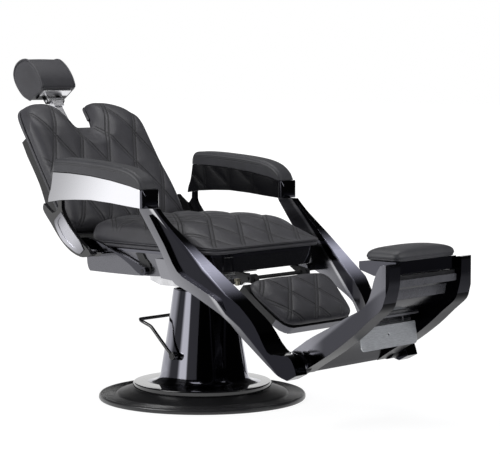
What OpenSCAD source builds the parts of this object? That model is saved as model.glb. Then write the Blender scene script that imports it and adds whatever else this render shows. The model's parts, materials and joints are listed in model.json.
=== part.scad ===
// Hydraulic barber chair, millimetres.
// +X runs forward to the footrest, +Y to the sitter's left, +Z up. The origin is the
// centre of the base's underside. Drawn at its lowest height with the back reclined.

/* [Base] */
// Radius of the rubber floor ring
base_radius = 320; // [310:5:330]
// Height of the floor ring
ring_height = 16; // [14:1:18]
// Radius of the gloss cover disc
cover_radius = 214; // [206:2:218]
// Height of the column's top
column_top = 336; // [330:1:338]

/* [Seat] */
// Half the seat's width, side panel face to centre
seat_half = 250; // [246:1:254]
// Height of the highest point of the seat cushion
seat_crown_z = 573; // [566:1:580]
// Length of one tuft from front to back
tuft_x = 139; // [120:1:150]
// Width of one tuft
tuft_y = 126; // [110:1:140]

/* [Arms] */
// Width of an arm
arm_width = 64; // [60:1:66]
// Gap between the seat side and the arm's inner face
arm_gap = 28; // [28:1:31]
// Height of the arm pad at its rear end
pad_top_z = 748; // [740:1:756]

/* [Back] */
// Lean of the back away from upright, degrees
back_lean = 32.5; // [31:0.5:34]
// How far the back stands out past the seat on each side
back_over = 5; // [3:1:6]
// Length of the back from its hinge to the top of the cushion
back_height = 573; // [565:1:580]
// Thickness of the back cushion
back_thick = 50; // [44:1:56]

/* [Headrest] */
// Half the width of the headrest
head_half = 77; // [72:1:82]
// Width of the headrest post
post_wide = 32; // [28:1:36]
// Thickness of the headrest post
post_thick = 10; // [8:1:11]

/* [Leg rest] */
// Slope of the calf rest, degrees
calf_slope = 40; // [38:1:42]
// Inner face of a footrest arm, from the centre
leg_in = 143; // [141:1:146]
// Thickness of the footplate
plate_thick = 4; // [3:0.5:6]

/* [Fits] */
// Running clearance between a shaft and its bore, on the radius
run = 0.05; // [0.03:0.01:0.08]
// Gap left round soft parts
soft = 0.4; // [0.3:0.1:0.6]

/* [Hidden] */
fine = 96;
mid = 48;
arm_in = seat_half + arm_gap;
arm_out = arm_in + arm_width;
// back hinge
hx = -235;
hinge_r = 8;
back_half = seat_half + back_over;
wide = back_half / 255;
// seat levels and ends
seat_top_z = 474;
hz = seat_top_z - 26;
frame_z = 396;
seat_back_x = -251;
seat_front_x = 282;
pipe_r = 7;
// ram and column
ram_r = 30;
neck_r = 24;
cyl_r = 42;
col_x = 8;
// pump pedal
pedal_x = -12;
pedal_z = 140;
stub_r = 9;
yoke_r = 5.5;
yoke_y = 122;
// recline lever
lev_x = 8;
lev_z = 414;
// back plane offsets, measured from the hinge
pipe_n = -57;
shell_n = -83;
shell_top = 451;
// headrest post
post_n = -113;
post_s = 619;
post_tilt = 4.5;
// calf hinge
cx = 308;
cz = 402;
// footrest pivot
vx = 570;
vz = 185;
// ankle pad pivot
px = 849;
pz = 474;
pad_pin_r = 4.5;
// lean lever and hinge lugs of the back, across the chair
lean_y = 130;
lug_y = seat_half - 42;

// plate across the width, from y0 to y1, drawn in the XZ plane
module across(y0, y1) {
    translate([0, y1, 0]) rotate([90, 0, 0]) linear_extrude(y1 - y0) children();
}

// shaft along Y
module shaft(x, z, y0, y1, r) {
    translate([x, y1, z]) rotate([90, 0, 0]) cylinder(r = r, h = y1 - y0, $fn = mid);
}

module both() {
    children();
    mirror([0, 1, 0]) children();
}

module back_place() {
    translate([hx, 0, hz]) rotate([0, -back_lean, 0]) children();
}

module post_place() {
    back_place() translate([post_n, 0, post_s]) rotate([0, -post_tilt, 0]) children();
}

module calf_place() {
    translate([cx, 0, cz]) rotate([0, calf_slope, 0]) children();
}

// ---- smooth curves ----
function spline_at(a, b, c, d, t) = 0.5 * (2 * b + (c - a) * t
    + (2 * a - 5 * b + 4 * c - d) * t * t + (3 * b - a - 3 * c + d) * t * t * t);

// open curve through the points, k steps between neighbours
function curve(p, k = 4) = let (n = len(p)) concat([
    for (i = [0:n - 2], j = [0:k - 1])
        spline_at(p[max(i - 1, 0)], p[i], p[i + 1], p[min(i + 2, n - 1)], j / k)
], [p[n - 1]]);

function side(v) = v < 0 ? -1 : 1;

function oval(a, b, e, n) = [
    for (i = [0:n - 1]) let (t = 360 * i / n)
        [a * side(cos(t)) * pow(abs(cos(t)), 2 / e), b * side(sin(t)) * pow(abs(sin(t)), 2 / e)]
];

function clamp01(v) = min(1, max(0, v));

function ease(v) = let (t = clamp01(v)) t * t * (3 - 2 * t);

// square grid position pushed onto a rounded outline
function rounded(u, v, e) = let (s = max(abs(u), abs(v)),
    m = pow(pow(abs(u), e) + pow(abs(v), e), 1 / e)) s == 0 ? [0, 0] : [u * s / m, v * s / m];

// height lost towards the sewn lines, 1 in the middle of a tuft and 0 on a line
function tuft(a, b) = let (p = abs(sin(180 * a)), q = abs(sin(180 * b))) pow(min(p, q), 0.45);

// walk round the border of an n by m grid
function border(n, m) = concat([for (i = [0:n - 1]) [i, 0]], [for (j = [0:m - 1]) [n, j]],
    [for (i = [n:-1:1]) [i, m]], [for (j = [m:-1:1]) [0, j]]);

// closed soft form: top = grid of points, rings = border loops from the top edge down
module soft_form(top, n, m, rings) {
    w = m + 1;
    base = (n + 1) * w;
    loop = border(n, m);
    count = len(loop);
    first = [for (q = loop) q[0] * w + q[1]];
    levels = concat([first], [for (k = [0:len(rings) - 1]) [for (c = [0:count - 1]) base + k * count + c]]);
    points = concat([for (row = top) each row], [for (ring = rings) each ring]);
    skin = [
        for (i = [0:n - 1], j = [0:m - 1])
            let (a = i * w + j, b = (i + 1) * w + j, c = (i + 1) * w + j + 1, d = i * w + j + 1)
            each ((i + j) % 2 == 0 ? [[a, c, b], [a, d, c]] : [[a, d, b], [b, d, c]])
    ];
    wall = [
        for (k = [0:len(levels) - 2], c = [0:count - 1])
            let (a = levels[k][c], b = levels[k][(c + 1) % count], d = levels[k + 1][c],
                e = levels[k + 1][(c + 1) % count])
            each [[a, b, d], [b, e, d]]
    ];
    last = levels[len(levels) - 1];
    floor_face = [[for (c = [0:count - 1]) last[c]]];
    polyhedron(points = points, faces = concat(skin, wall, floor_face));
}

// ================= base =================
module base_ring() {
    color([0.07, 0.07, 0.08]) rotate_extrude($fn = fine) polygon([
        [262, 0], [base_radius - 3, 0], [base_radius, 3], [base_radius, ring_height - 5],
        [base_radius - 5, ring_height], [304, ring_height], [302, ring_height - 2],
        [296, ring_height - 2], [294, ring_height], [287, ring_height], [285, ring_height - 2],
        [279, ring_height - 2], [277, ring_height], [268.3, ring_height], [268.3, 10], [262, 10]
    ]);
}

module base_plate() {
    color([0.16, 0.16, 0.18]) difference() {
        rotate_extrude($fn = fine) polygon(concat(
            [[0, 0], [70, 0], [70, 10], [80, 22], [205, 20], [240, 10.2], [268, 10.2], [268, 15]],
            curve([[262, 19.5], [246, 25], [230, 30], [cover_radius - 2, 34]], 3), [[0, 34]]));
        for (a = [0:90:270]) rotate(a) translate([62, 0, 20]) cylinder(r = 6, h = 20, $fn = mid);
        translate([0, 0, 24]) cylinder(r = cyl_r + 2, h = 20, $fn = fine);
    }
}

module base_cover() {
    color([0.03, 0.03, 0.035]) rotate_extrude($fn = fine) polygon([
        [cover_radius - 8, 34], [cover_radius, 34], [cover_radius, 47], [cover_radius - 1.5, 50.5],
        [cover_radius - 5, 51.5], [120, 51.5], [120, 46], [cover_radius - 14, 46],
        [cover_radius - 8, 40]
    ]);
}

// closed loft through ovals, each level is [z, half length, half width]
module loft(levels, e, n) {
    points = [for (l = levels) each [for (q = oval(l[1], l[2], e, n)) [q[0], q[1], l[0]]]];
    top = len(levels) - 1;
    walls = [
        for (k = [0:top - 1], i = [0:n - 1])
            let (a = k * n + i, b = k * n + (i + 1) % n, c = a + n, d = b + n)
            each [[a, c, b], [b, c, d]]
    ];
    caps = [[for (i = [0:n - 1]) i], [for (i = [n - 1:-1:0]) top * n + i]];
    polyhedron(points = points, faces = concat(walls, caps));
}

column_levels = [[51.5, 172, 160], [55, 161, 146], [61, 152, 133], [72, 142, 120],
    [column_top - 6, 93, 76], [column_top, 90, 73]];

module column_shell() {
    difference() {
        translate([col_x, 0, 0]) loft(column_levels, 3.1, 44);
        translate([col_x, 0, 0]) loft([for (l = column_levels) [l[0] - 3.5, l[1] - 5, l[2] - 5]], 3.1, 44);
        translate([0, 0, column_top - 12]) cylinder(r = ram_r + 10, h = 30, $fn = mid);
        shaft(pedal_x, pedal_z, -150, 150, stub_r + 2);
    }
}

module front_side(gap) {
    across(-200, 200) polygon([
        [-36 + gap, 40], [220, 40], [220, 360], [-14 + gap, 360]
    ]);
}

module column_front_cover() {
    color([0.025, 0.025, 0.03]) intersection() {
        column_shell();
        front_side(0.4);
    }
}

module column_rear_cover() {
    color([0.025, 0.025, 0.03]) difference() {
        column_shell();
        front_side(0);
    }
}

module pump_cylinder() {
    color([0.55, 0.55, 0.58]) difference() {
        union() {
            translate([0, 0, 24]) cylinder(r = cyl_r, h = 296, $fn = fine);
            translate([0, 0, 296]) cylinder(r = cyl_r + 8, h = 24, $fn = 6);
        }
        translate([0, 0, 36]) cylinder(r = ram_r + 3, h = 264, $fn = fine);
        translate([0, 0, 290]) cylinder(r = ram_r + run, h = 40, $fn = fine);
    }
}

module pump_body() {
    color([0.3, 0.3, 0.32]) difference() {
        union() {
            translate([0, 0, 34]) cylinder(r = 78, h = 12, $fn = fine);
            translate([0, 0, 40]) cylinder(r = 50, h = 128, $fn = fine);
            both() shaft(pedal_x, pedal_z, 30, 84, 22);
            translate([-62, -86, 40]) cube([40, 56, 46]);
        }
        translate([0, 0, 30]) cylinder(r = cyl_r + run, h = 150, $fn = fine);
        both() shaft(pedal_x, pedal_z, 20, 90, stub_r + run);
        shaft(pedal_x, pedal_z, 59, 70, 19);
        mirror([0, 1, 0]) shaft(pedal_x, pedal_z, 58, 71, 19);
        translate([-46, -64.5, 54]) cylinder(r = 8 + run, h = 60, $fn = mid);
        translate([-75, -76.5, 92]) cube([80, 24, 90]);
        for (a = [0:90:270]) rotate(a) translate([62, 0, 20]) cylinder(r = 6, h = 40, $fn = mid);
    }
}

module pump_bolts() {
    color([0.5, 0.5, 0.52]) for (a = [0:90:270]) rotate(a) translate([62, 0, 0]) {
        translate([0, 0, 24]) cylinder(r = 5.8, h = 22, $fn = mid);
        translate([0, 0, 46]) cylinder(r = 9.5, h = 8, $fn = 6);
    }
}

module return_spring() {
    steps = 40;
    turns = 4;
    reach = 14;
    color([0.6, 0.6, 0.62]) for (i = [0:steps - 1]) {
        a = 360 * turns * i / steps;
        b = 360 * turns * (i + 1) / steps;
        hull() {
            translate([pedal_x + reach * cos(a), 60.2 + 9 * i / steps, pedal_z + reach * sin(a)])
                sphere(r = 0.9, $fn = 6);
            translate([pedal_x + reach * cos(b), 60.2 + 9 * (i + 1) / steps, pedal_z + reach * sin(b)])
                sphere(r = 0.9, $fn = 6);
        }
    }
}

// ================= pump pedal =================
module pedal_yoke() {
    color([0.03, 0.03, 0.035]) difference() {
        union() {
            bar([-156, -yoke_y + 9, 241], [-156, yoke_y - 9, 241], yoke_r);
            both() {
                bar([-156, yoke_y - 9, 241], [-147, yoke_y, 237.8], yoke_r);
                bar([-147, yoke_y, 237.8], [-100, yoke_y, 221], yoke_r);
                bar([-100, yoke_y, 221], [-24, yoke_y, 150.5], yoke_r);
                shaft(pedal_x, pedal_z, yoke_y - 7, yoke_y + 7, 16);
            }
        }
        both() shaft(pedal_x, pedal_z, yoke_y - 12, yoke_y + 4, stub_r);
    }
}

// round bar with ball ends
module bar(a, b, r) {
    hull() {
        translate(a) sphere(r = r, $fn = 12);
        translate(b) sphere(r = r, $fn = 12);
    }
}

module stub(y0, y1) {
    shaft(pedal_x, pedal_z, y0, y1, stub_r);
}

module pedal_stub_left() {
    color([0.5, 0.5, 0.52]) stub(46, yoke_y + 4);
}

module pedal_stub_right() {
    color([0.5, 0.5, 0.52]) difference() {
        union() {
            mirror([0, 1, 0]) stub(46, yoke_y + 4);
            mirror([0, 1, 0]) across(60, 69) union() {
                translate([pedal_x, pedal_z]) circle(r = 15, $fn = mid);
                polygon([[pedal_x - 4, 154], [pedal_x + 4, 126], [-42, 114.5], [-52, 121]]);
                translate([-46, 118.3]) circle(r = 6, $fn = mid);
            }
        }
    }
}

module pump_plunger() {
    color([0.75, 0.75, 0.77]) {
        translate([-46, -64.5, 70]) cylinder(r = 8, h = 36, $fn = mid);
        translate([-46, -64.5, 106]) cylinder(r = 11, h = 6, $fn = mid);
    }
}

// ================= lift =================
module piston_ram() {
    color([0.8, 0.8, 0.82]) difference() {
        union() {
            translate([0, 0, 40]) cylinder(r = ram_r, h = 300, $fn = fine);
            translate([0, 0, 340]) cylinder(r = neck_r, h = 50, $fn = fine);
        }
        translate([0, 0, 52]) rotate_extrude($fn = fine)
            polygon([[ram_r - 4, 0], [ram_r + 2, 0], [ram_r + 2, 8], [ram_r - 4, 8]]);
    }
}

module piston_seal() {
    color([0.05, 0.05, 0.05]) translate([0, 0, 52]) rotate_extrude($fn = fine)
        polygon([[ram_r - 4, 0], [ram_r + 3 - run, 0], [ram_r + 3 - run, 8], [ram_r - 4, 8]]);
}

// ================= seat =================
module seat_hub() {
    color([0.35, 0.35, 0.37]) difference() {
        union() {
            translate([0, 0, 345]) cylinder(r = 38, h = 43, $fn = fine);
            translate([0, 0, 388]) cylinder(r = 70, h = 7.5, $fn = fine);
        }
        translate([0, 0, 340]) cylinder(r = neck_r + run, h = 48, $fn = fine);
        translate([0, 0, 380]) cylinder(r = neck_r + run, h = 10.5, $fn = fine);
    }
}

bolt_at = [[-112, -70], [-112, 70], [96, -70], [96, 70]];

module seat_bracket() {
    color([0.72, 0.72, 0.74]) difference() {
        union() {
            translate([-140, -86, 376]) cube([262, 172, 12]);
            both() across(74, 86) polygon([
                [-140, 380], [122, 380], [122, 366], [96, 349], [-96, 349], [-140, 362]
            ]);
        }
        translate([0, 0, 340]) cylinder(r = 38, h = 60, $fn = fine);
        for (b = bolt_at) translate([b[0], b[1] * 0.8, 340]) cylinder(r = 7, h = 60, $fn = mid);
    }
}

module mount_bolts() {
    color([0.7, 0.68, 0.6]) for (b = bolt_at) translate([b[0], b[1] * 0.8, 0]) {
        translate([0, 0, 350]) cylinder(r = 6.8, h = 56, $fn = mid);
        translate([0, 0, 363]) cylinder(r = 11, h = 9, $fn = 6);
        translate([0, 0, 372]) cylinder(r = 14, h = 4, $fn = mid);
    }
}

function seat_plan(inset, e = 6.5) = let (a = (seat_front_x - seat_back_x) / 2, c = seat_front_x - a)
    [for (q = oval(a - inset, seat_half - inset, e, 72)) [q[0] + c, q[1]]];

module seat_frame() {
    rail = seat_top_z - 8;
    color([0.5, 0.5, 0.53]) difference() {
        union() {
            // top flange, its edge is the light trim band
            translate([0, 0, seat_top_z - 8]) linear_extrude(8) polygon(seat_plan(0.3));
            // side rails and cross members
            intersection() {
                union() {
                    both() across(seat_half - 44, seat_half - 6) polygon([
                        [-206, rail], [-190, frame_z + 1], [112, 402], [200, 412], [276, 436], [276, rail]
                    ]);
                    translate([-206, 44 - seat_half, rail - 26]) cube([14, 2 * seat_half - 88, 26]);
                    translate([256, 44 - seat_half, rail - 26]) cube([12, 2 * seat_half - 88, 26]);
                }
                translate([0, 0, 380]) linear_extrude(rail - 380) polygon(seat_plan(6));
            }
            // centre channel over the hub
            translate([-150, -96, frame_z]) cube([290, 192, 8]);
            both() translate([-150, 84, 403]) cube([290, 12, rail - 403]);
            // calf hinge lugs
            both() across(120, 136) polygon([
                [250, rail], [268, rail], [268, 420.5], [cx + 12, 410],
                [cx + 12, cz - 12], [cx - 14, cz - 12],
                [230, 430]
            ]);
            // back hinge lugs
            both() across(lug_y - 28, lug_y - 12) polygon([
                [-206, rail], [-206, hz - 18], [hx - 15, hz - 12], [hx - 15, hz + 12], [hx - 5, rail]
            ]);
        }
        for (b = bolt_at) translate([b[0], b[1] * 0.8, 380]) cylinder(r = 6.8, h = 40, $fn = mid);
        shaft(hx, hz, -seat_half - 10, seat_half + 10, hinge_r);
        shaft(cx, cz, -140, 140, 6);
        // lever boss seat
        shaft(lev_x, lev_z, -seat_half - 10, 24 - seat_half, 7);
    }
}

module seat_side_panel() {
    color([0.32, 0.32, 0.35]) difference() {
        across(seat_half - 6, seat_half) polygon(concat(
            curve([[-251, seat_top_z - 8], [-251, 434], [-247, 410], [-238, 397]], 3),
            [[-150, 396], [-39, 396], [111, 402], [78, seat_top_z - 8]]));
        shaft(hx, hz, 0, seat_half + 50, hinge_r);
        shaft(lev_x, lev_z, seat_half - 50, seat_half + 50, 7);
    }
}

module seat_side_panel_left() { seat_side_panel(); }
module seat_side_panel_right() { mirror([0, 1, 0]) seat_side_panel(); }

module seat_apron() {
    color([0.02, 0.02, 0.025]) intersection() {
        translate([0, 0, 421]) linear_extrude(seat_top_z - 429) difference() {
            polygon(seat_plan(0));
            polygon(seat_plan(6));
            translate([-400, -300]) square([400 + 205, 600]);
        }
        translate([400, 0, 0]) rotate([90, 0, -90]) linear_extrude(300)
            polygon([for (q = [[-260, 470], [260, 470], [250, 445], [236, 430], [219, 421],
                [-219, 421], [-236, 430], [-250, 445]]) [q[0] * seat_half / 250, q[1]]]);
    }
}

// tube round the seat outline, built of straight runs and quarter turns
module seat_piping() {
    loop = seat_plan(pipe_r);
    color([0.09, 0.09, 0.1]) translate([0, 0, seat_top_z + pipe_r])
        for (k = [0:len(loop) - 1]) {
            a = loop[k];
            b = loop[(k + 1) % len(loop)];
            rod_low([a[0], a[1], 0], [b[0], b[1], 0], pipe_r);
        }
}

module rod_low(a, b, r) {
    hull() {
        translate(a) sphere(r = r, $fn = 8);
        translate(b) sphere(r = r, $fn = 8);
    }
}

module seat_cushion() {
    n = 23;
    m = 24;
    e = 6;
    a = (seat_front_x - seat_back_x) / 2;
    b = seat_half;
    c = seat_front_x - a;
    edge_z = seat_crown_z - 15;
    side_z = seat_top_z + 38;
    top = [
        for (i = [0:n]) [
            for (j = [0:m])
                let (u = -1 + 2 * i / n, v = -1 + 2 * j / m, q = rounded(u, v, e),
                    s = max(abs(u), abs(v)), x = c + a * q[0], y = b * q[1],
                    fall = sqrt(1 - pow(clamp01((s - 0.8) / 0.2), 2)),
                    nose = ease((x - 100) / 190) * 50,
                    crown = 15 * (1 - q[0] * q[0]) * (1 - q[1] * q[1]),
                    puff = 6 * (tuft((x - 290) / tuft_x + y / tuft_y, (x - 290) / tuft_x - y / tuft_y) - 1)
                        * ease((1 - s) / 0.15))
                [x, y, side_z + (edge_z - nose - side_z) * max(fall, 0) * 1 + crown + puff]
        ]
    ];
    levels = [[1, 26], [5, 17], [9, 15.4], [16, 14], [16, soft]];
    rings = [
        for (l = levels) [
            for (g = border(n, m)) let (q = rounded(-1 + 2 * g[0] / n, -1 + 2 * g[1] / m, e))
                [c + (a - l[0]) * q[0], (b - l[0]) * q[1], seat_top_z + l[1]]
        ]
    ];
    color([0.1, 0.1, 0.11]) soft_form(top, n, m, rings);
}

// ================= arms =================
// height of the arm housing's underside at x
function arm_under(x) = x < -271 ? lookup(x, [[-329, 608], [-271, 617]])
    : lookup(x, [[-271, 617], [-205, 621], [-139, 623], [-54, 618], [9, 612], [71, 607]]);

arm_line = [[-303, 702], [-226, 701], [-139, 696], [-53, 686], [30, 672], [73, 662]];

module arm_housing() {
    color([0.55, 0.55, 0.58]) difference() {
        across(arm_in, arm_out) polygon(concat(
            curve([[-326, 608.5], [-322, 628], [-311, 656], [-303, 702]], 3), arm_line,
            [[73, 607], [71, 607], [9, 612], [-54, 618], [-139, 623], [-205, 621], [-271, 617]]));
        across(arm_in + 5, arm_out - 5) polygon([
            [-309, 632], [-296, 760], [62, 760], [62, 622], [9, 622], [-54, 628], [-139, 633],
            [-205, 631], [-271, 627], [-306, 622]
        ]);
    }
}

module arm_housing_left() { arm_housing(); }
module arm_housing_right() { mirror([0, 1, 0]) arm_housing(); }

module arm_front_block() {
    color([0.12, 0.12, 0.13]) intersection() {
        across(arm_in - 2, arm_out + 4) polygon(concat([[73, 607]],
            curve([[86, 607], [90, 618], [90, 640], [84, 662]], 4), [[73, 662]]));
        translate([0, 0, 600]) linear_extrude(70) polygon([
            [73, arm_in - 2], [84, arm_in - 2], [90, arm_in + 6], [90, arm_out - 4],
            [84, arm_out + 4], [73, arm_out + 4]
        ]);
    }
}

module arm_front_block_left() { arm_front_block(); }
module arm_front_block_right() { mirror([0, 1, 0]) arm_front_block(); }

module arm_pad() {
    tops = [[-287, 0], [-230, 1], [-173, -2], [-95, -7], [-11, -17], [35, -29], [64, -48]];
    r = 13;
    color([0.14, 0.14, 0.15]) difference() {
        hull() {
            for (t = tops, y = [arm_in - 2 + r, arm_out + 2 - r])
                translate([t[0], y, pad_top_z + t[1] - 5 - r]) sphere(r = r, $fn = 20);
            for (t = tops) translate([t[0], (arm_in + arm_out) / 2, pad_top_z + t[1] - 16])
                sphere(r = 16, $fn = 16);
            translate([-306, arm_in, 690]) cube([380, arm_width, 8]);
            translate([60, arm_in, 650]) cube([22, arm_width, 18]);
        }
        translate([0, -0.02, 0]) across(arm_in - 20, arm_out + 20) polygon(concat([[-360, 600], [-360, 703]],
            [for (q = arm_line) [q[0], q[1] + soft]], [[90, 662 + soft], [120, 600]]));
    }
}

module arm_pad_left() { arm_pad(); }
module arm_pad_right() { mirror([0, 1, 0]) arm_pad(); }

// rear bracket under the arm: hooked casting with a bright crescent
module rear_bracket() {
    y1 = arm_out - 33;
    color([0.4, 0.4, 0.43]) difference() {
        union() {
            across(y1 - 17, y1 - 3) polygon(concat(
                curve([[-384, 600], [-386, 579], [-353, 541], [-308, 491], [-264, 459], [-220, 444],
                    [-190, 446]], 4),
                curve([[-176, 455], [-190, 470], [-223, 493], [-263, 530], [-296, 573], [-303, 590]], 4),
                [[-303, arm_under(-303)], [-318, arm_under(-318)], [-319, 590], [-330, 576]],
                curve([[-345, 572], [-366, 586], [-384, 600]], 3)));
            across(y1 - 3, y1) polygon(concat(
                curve([[-303, 577], [-322, 560], [-332, 541], [-299, 491], [-242, 458], [-219, 454]], 4),
                curve([[-204, 467], [-223, 493], [-263, 530], [-303, 577]], 4)));
            across(seat_half, y1 - 17) polygon([
                [-212, 446], [-160, 448], [-138, 458], [-150, 461], [-206, 461]
            ]);
        }
        across(y1 - 1.5, y1 + 1) polygon(curve([[-306, 562], [-318, 541], [-286, 498], [-240, 470],
            [-252, 500], [-306, 562]], 3));
    }
}

module rear_bracket_left() { rear_bracket(); }
module rear_bracket_right() { mirror([0, 1, 0]) rear_bracket(); }

// ================= side frames =================
module side_frame() {
    lower = [[50, 597], [87, 548], [141, 474], [181, 402], [218, 384], [258, 369], [330, 337],
        [389, 307], [425, 263], [459, 232], [492, 204], [526, 176], [553, 157], [585, 147]];
    upper = [[618, 164], [606, 196], [588, 214], [548, 216], [515, 222], [476, 288], [437, 333],
        [390, 378], [338, 420], [283, 466], [224, 514], [162, 562], [126, 595], [115, 607]];
    sh = seat_half - 250;
    color([0.45, 0.45, 0.48]) difference() {
        intersection() {
            across(180, arm_out) polygon(concat([[45, 607]], curve(lower, 3), curve(upper, 3)));
            translate([0, 0, 100]) linear_extrude(560) polygon([
                [30, 322 + sh], [389, 321 + sh], [425, 302 + sh], [459, 295 + sh], [492, 290 + sh],
                [526, 285 + sh], [553, 283 + sh], [620, 281 + sh], [620, 233 + sh], [548, 233 + sh],
                [544, 200 + sh], [515, 200 + sh], [437, 239 + sh], [390, 254 + sh], [338, 266 + sh],
                [283, 279 + sh], [224, 290 + sh], [162, 300 + sh], [103, 304 + sh], [30, 304 + sh]
            ]);
        }
        // room for the footrest arm's knuckle
        shaft(vx, vz, 180, 232 + sh, 47);
        // long channel in the outer face
        across(308 + sh, 330 + sh) polygon(concat(
            curve([[88, 588], [150, 503], [200, 430], [268, 396], [345, 362], [392, 330]], 3),
            curve([[374, 366], [300, 432], [240, 482], [185, 530], [132, 574], [104, 592]], 3)));
        // pivot bore
        shaft(vx, vz, 200, 262, 10);
    }
}

module gusset() {
    color([0.2, 0.2, 0.22]) translate([0, 0, 0]) across(seat_half, seat_half + 54)
        polygon([[88, 462], [116, 404], [150, 398], [186, 392], [176, 408], [140, 462]]);
}

module side_frame_whole() {
    sh = seat_half - 250;
    side_frame();
    difference() {
        across(seat_half, 306 + sh) polygon([
            [96, 460], [120, 404], [188, 398], [216, 388], [214, 404], [160, 460]
        ]);
        translate([0, 0, 0]) shaft(vx, vz, 180, 232, 47);
    }
}

module side_frame_left() { side_frame_whole(); }
module side_frame_right() { mirror([0, 1, 0]) side_frame_whole(); }

// ================= hinge rods and pins =================
module back_hinge_rod() {
    color([0.6, 0.6, 0.62]) shaft(hx, hz, -seat_half, seat_half, hinge_r);
}

module calf_hinge_rod() {
    color([0.3, 0.3, 0.32]) shaft(cx, cz, -140, 140, 6);
}

module leg_pivot_pins() {
    color([0.6, 0.6, 0.62]) both() shaft(vx, vz, 190, 262, 10);
}

// ================= recline lever =================
module lever_bracket() {
    color([0.06, 0.06, 0.07]) mirror([0, 1, 0]) {
        across(seat_half, seat_half + 5) polygon(concat(
            [[-35, 465], [-5, 465]], curve([[6, 450], [24, 434], [28, 418], [18, 404]], 4),
            curve([[0, 404], [-8, 420], [-20, 440]], 4)));
        shaft(lev_x, lev_z, seat_half - 24, seat_half + 5, 7);
        shaft(lev_x, lev_z, seat_half + 5, seat_half + 22, 6);
    }
}

module recline_lever() {
    color([0.5, 0.5, 0.53]) mirror([0, 1, 0]) difference() {
        union() {
            across(seat_half + 6, seat_half + 17) polygon(concat(
                curve([[4, 401], [-18, 409], [-52, 431], [-94, 452], [-125, 460], [-159, 463],
                    [-216, 465], [-247, 465], [-262, 472]], 4),
                curve([[-268, 486], [-258, 498], [-224, 499], [-181, 489], [-137, 474], [-112, 466],
                    [-70, 454], [-26, 438], [10, 427]], 4)));
            shaft(lev_x, lev_z, seat_half + 6, seat_half + 21, 14);
        }
        shaft(lev_x, lev_z, seat_half, seat_half + 30, 6 + run);
    }
}

module recline_cylinder() {
    color([0.2, 0.2, 0.22]) difference() {
        union() {
            translate([hx + 93, lean_y, hz - 28]) rotate([0, 90, 0]) cylinder(r = 17, h = 190, $fn = mid);
            translate([hx + 93, 96, hz - 40]) cube([24, lean_y - 96, 24]);
            translate([hx + 259, 96, hz - 40]) cube([24, lean_y - 96, 24]);
        }
        translate([hx + 85, lean_y, hz - 28]) rotate([0, 90, 0])
            cylinder(r = 8 + run, h = 160, $fn = mid);
    }
}

module recline_rod() {
    color([0.75, 0.75, 0.77]) {
        translate([hx + 22, lean_y, hz - 28]) rotate([0, 90, 0]) cylinder(r = 8, h = 193, $fn = mid);
        translate([hx + 22, lean_y - 22, hz - 37]) cube([7, 44, 18]);
        for (y = [lean_y - 22, lean_y + 12]) translate([hx - 5, y, hz - 37]) cube([34, 10, 18]);
        shaft(hx + 5, hz - 28, lean_y - 20, lean_y + 20, 4);
    }
}

// ================= back =================
function back_top(y) = let (a = abs(y) / wide, k = back_height)
    a < 30 ? k - 101 : a < 78 ? k - 101 + 92 * ease((a - 30) / 48)
    : lookup(a, [[78, k - 9], [94, k - 2], [116, k], [150, k], [170, k - 3], [190, k - 9], [206, k - 18],
        [220, k - 30], [232, k - 46], [242, k - 66], [250, k - 90], [256, k - 116]]);

// the face of the cushion falls away towards its top edge
function bend(s) = -12 * pow(clamp01((s - shell_top) / 122), 1.5);

function back_side(s) = back_half;

// outline of the back, drawn in the local YZ plane
module back_outline(inset, s0, cut) {
    polygon(concat(
        [for (g = [-255, -247, -237, -226, -212, -196, -178, -160, -140, -92, -70, -49, -44, -38, -30,
            30, 38, 44, 49, 70, 92, 140, 160, 178, 196, 212, 226, 237, 247, 255])
            let (y = g * wide, k = abs(g) > 254 ? back_half - inset : back_half)
                [max(min(y, back_half - inset), inset - back_half),
                    min(back_top(min(abs(y), k)) - inset, cut)]],
        [[back_half - inset, s0 + 30], [back_half - inset - 24, s0], [inset + 24 - back_half, s0],
            [inset - back_half, s0 + 30]]));
}

module back_slab(n0, n1) {
    translate([n1, 0, 0]) rotate([90, 0, -90]) linear_extrude(n1 - n0) children();
}

module shell_side(t) {
    polygon(concat([[pipe_n, shell_top], [shell_n + t, shell_top - 2]],
        curve([[shell_n + t - 3, 400], [shell_n + t - 2, 300], [-96 + t, 220], [-99 + t, 170],
            [-91 + t, 101], [-71 + t, 50], [-44 + t, 20]], 4),
        [[-34 + t, 14], [-18, 34], [-24, 60], [-30, 84], [pipe_n + 20, 88], [pipe_n, 90]]));
}

module back_shell() {
    color([0.06, 0.06, 0.07]) back_place() difference() {
        union() {
            intersection() {
                across(-seat_half + 2, seat_half - 2) shell_side(0);
                back_slab(-120, 0) back_outline(5, 14, shell_top);
            }
            // hinge lugs
            both() across(lug_y - 8, lug_y + 8) union() {
                circle(r = 16, $fn = mid);
                polygon([[-16, 0], [-60, 50], [-40, 62], [-6, 14.8], [0, 15]]);
            }
        }
        // hollow, open to the front
        intersection() {
            across(-seat_half + 10, seat_half - 10) polygon(concat(
                [[pipe_n + 1, shell_top - 10], [shell_n + 8, shell_top - 10]],
                curve([[shell_n + 5, 400], [shell_n + 6, 300], [-88, 220], [-91, 170], [-83, 101],
                    [-72, 72]], 3), [[pipe_n + 1, 100]]));
            back_slab(-120, 0) back_outline(13, 40, shell_top - 8);
        }
        both() shaft(0, 0, lug_y - 18, lug_y + 22, hinge_r + run);
        guide_block(0);
        // room for the seat's hinge lugs and the back lever
        both() shaft(0, 0, lug_y - 32, lug_y - 9, 30);
        across(lean_y - 9, lean_y + 9) polygon([[-62, -10], [-62, 96], [-20, 96], [25, 20], [25, -10]]);
    }
}

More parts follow.
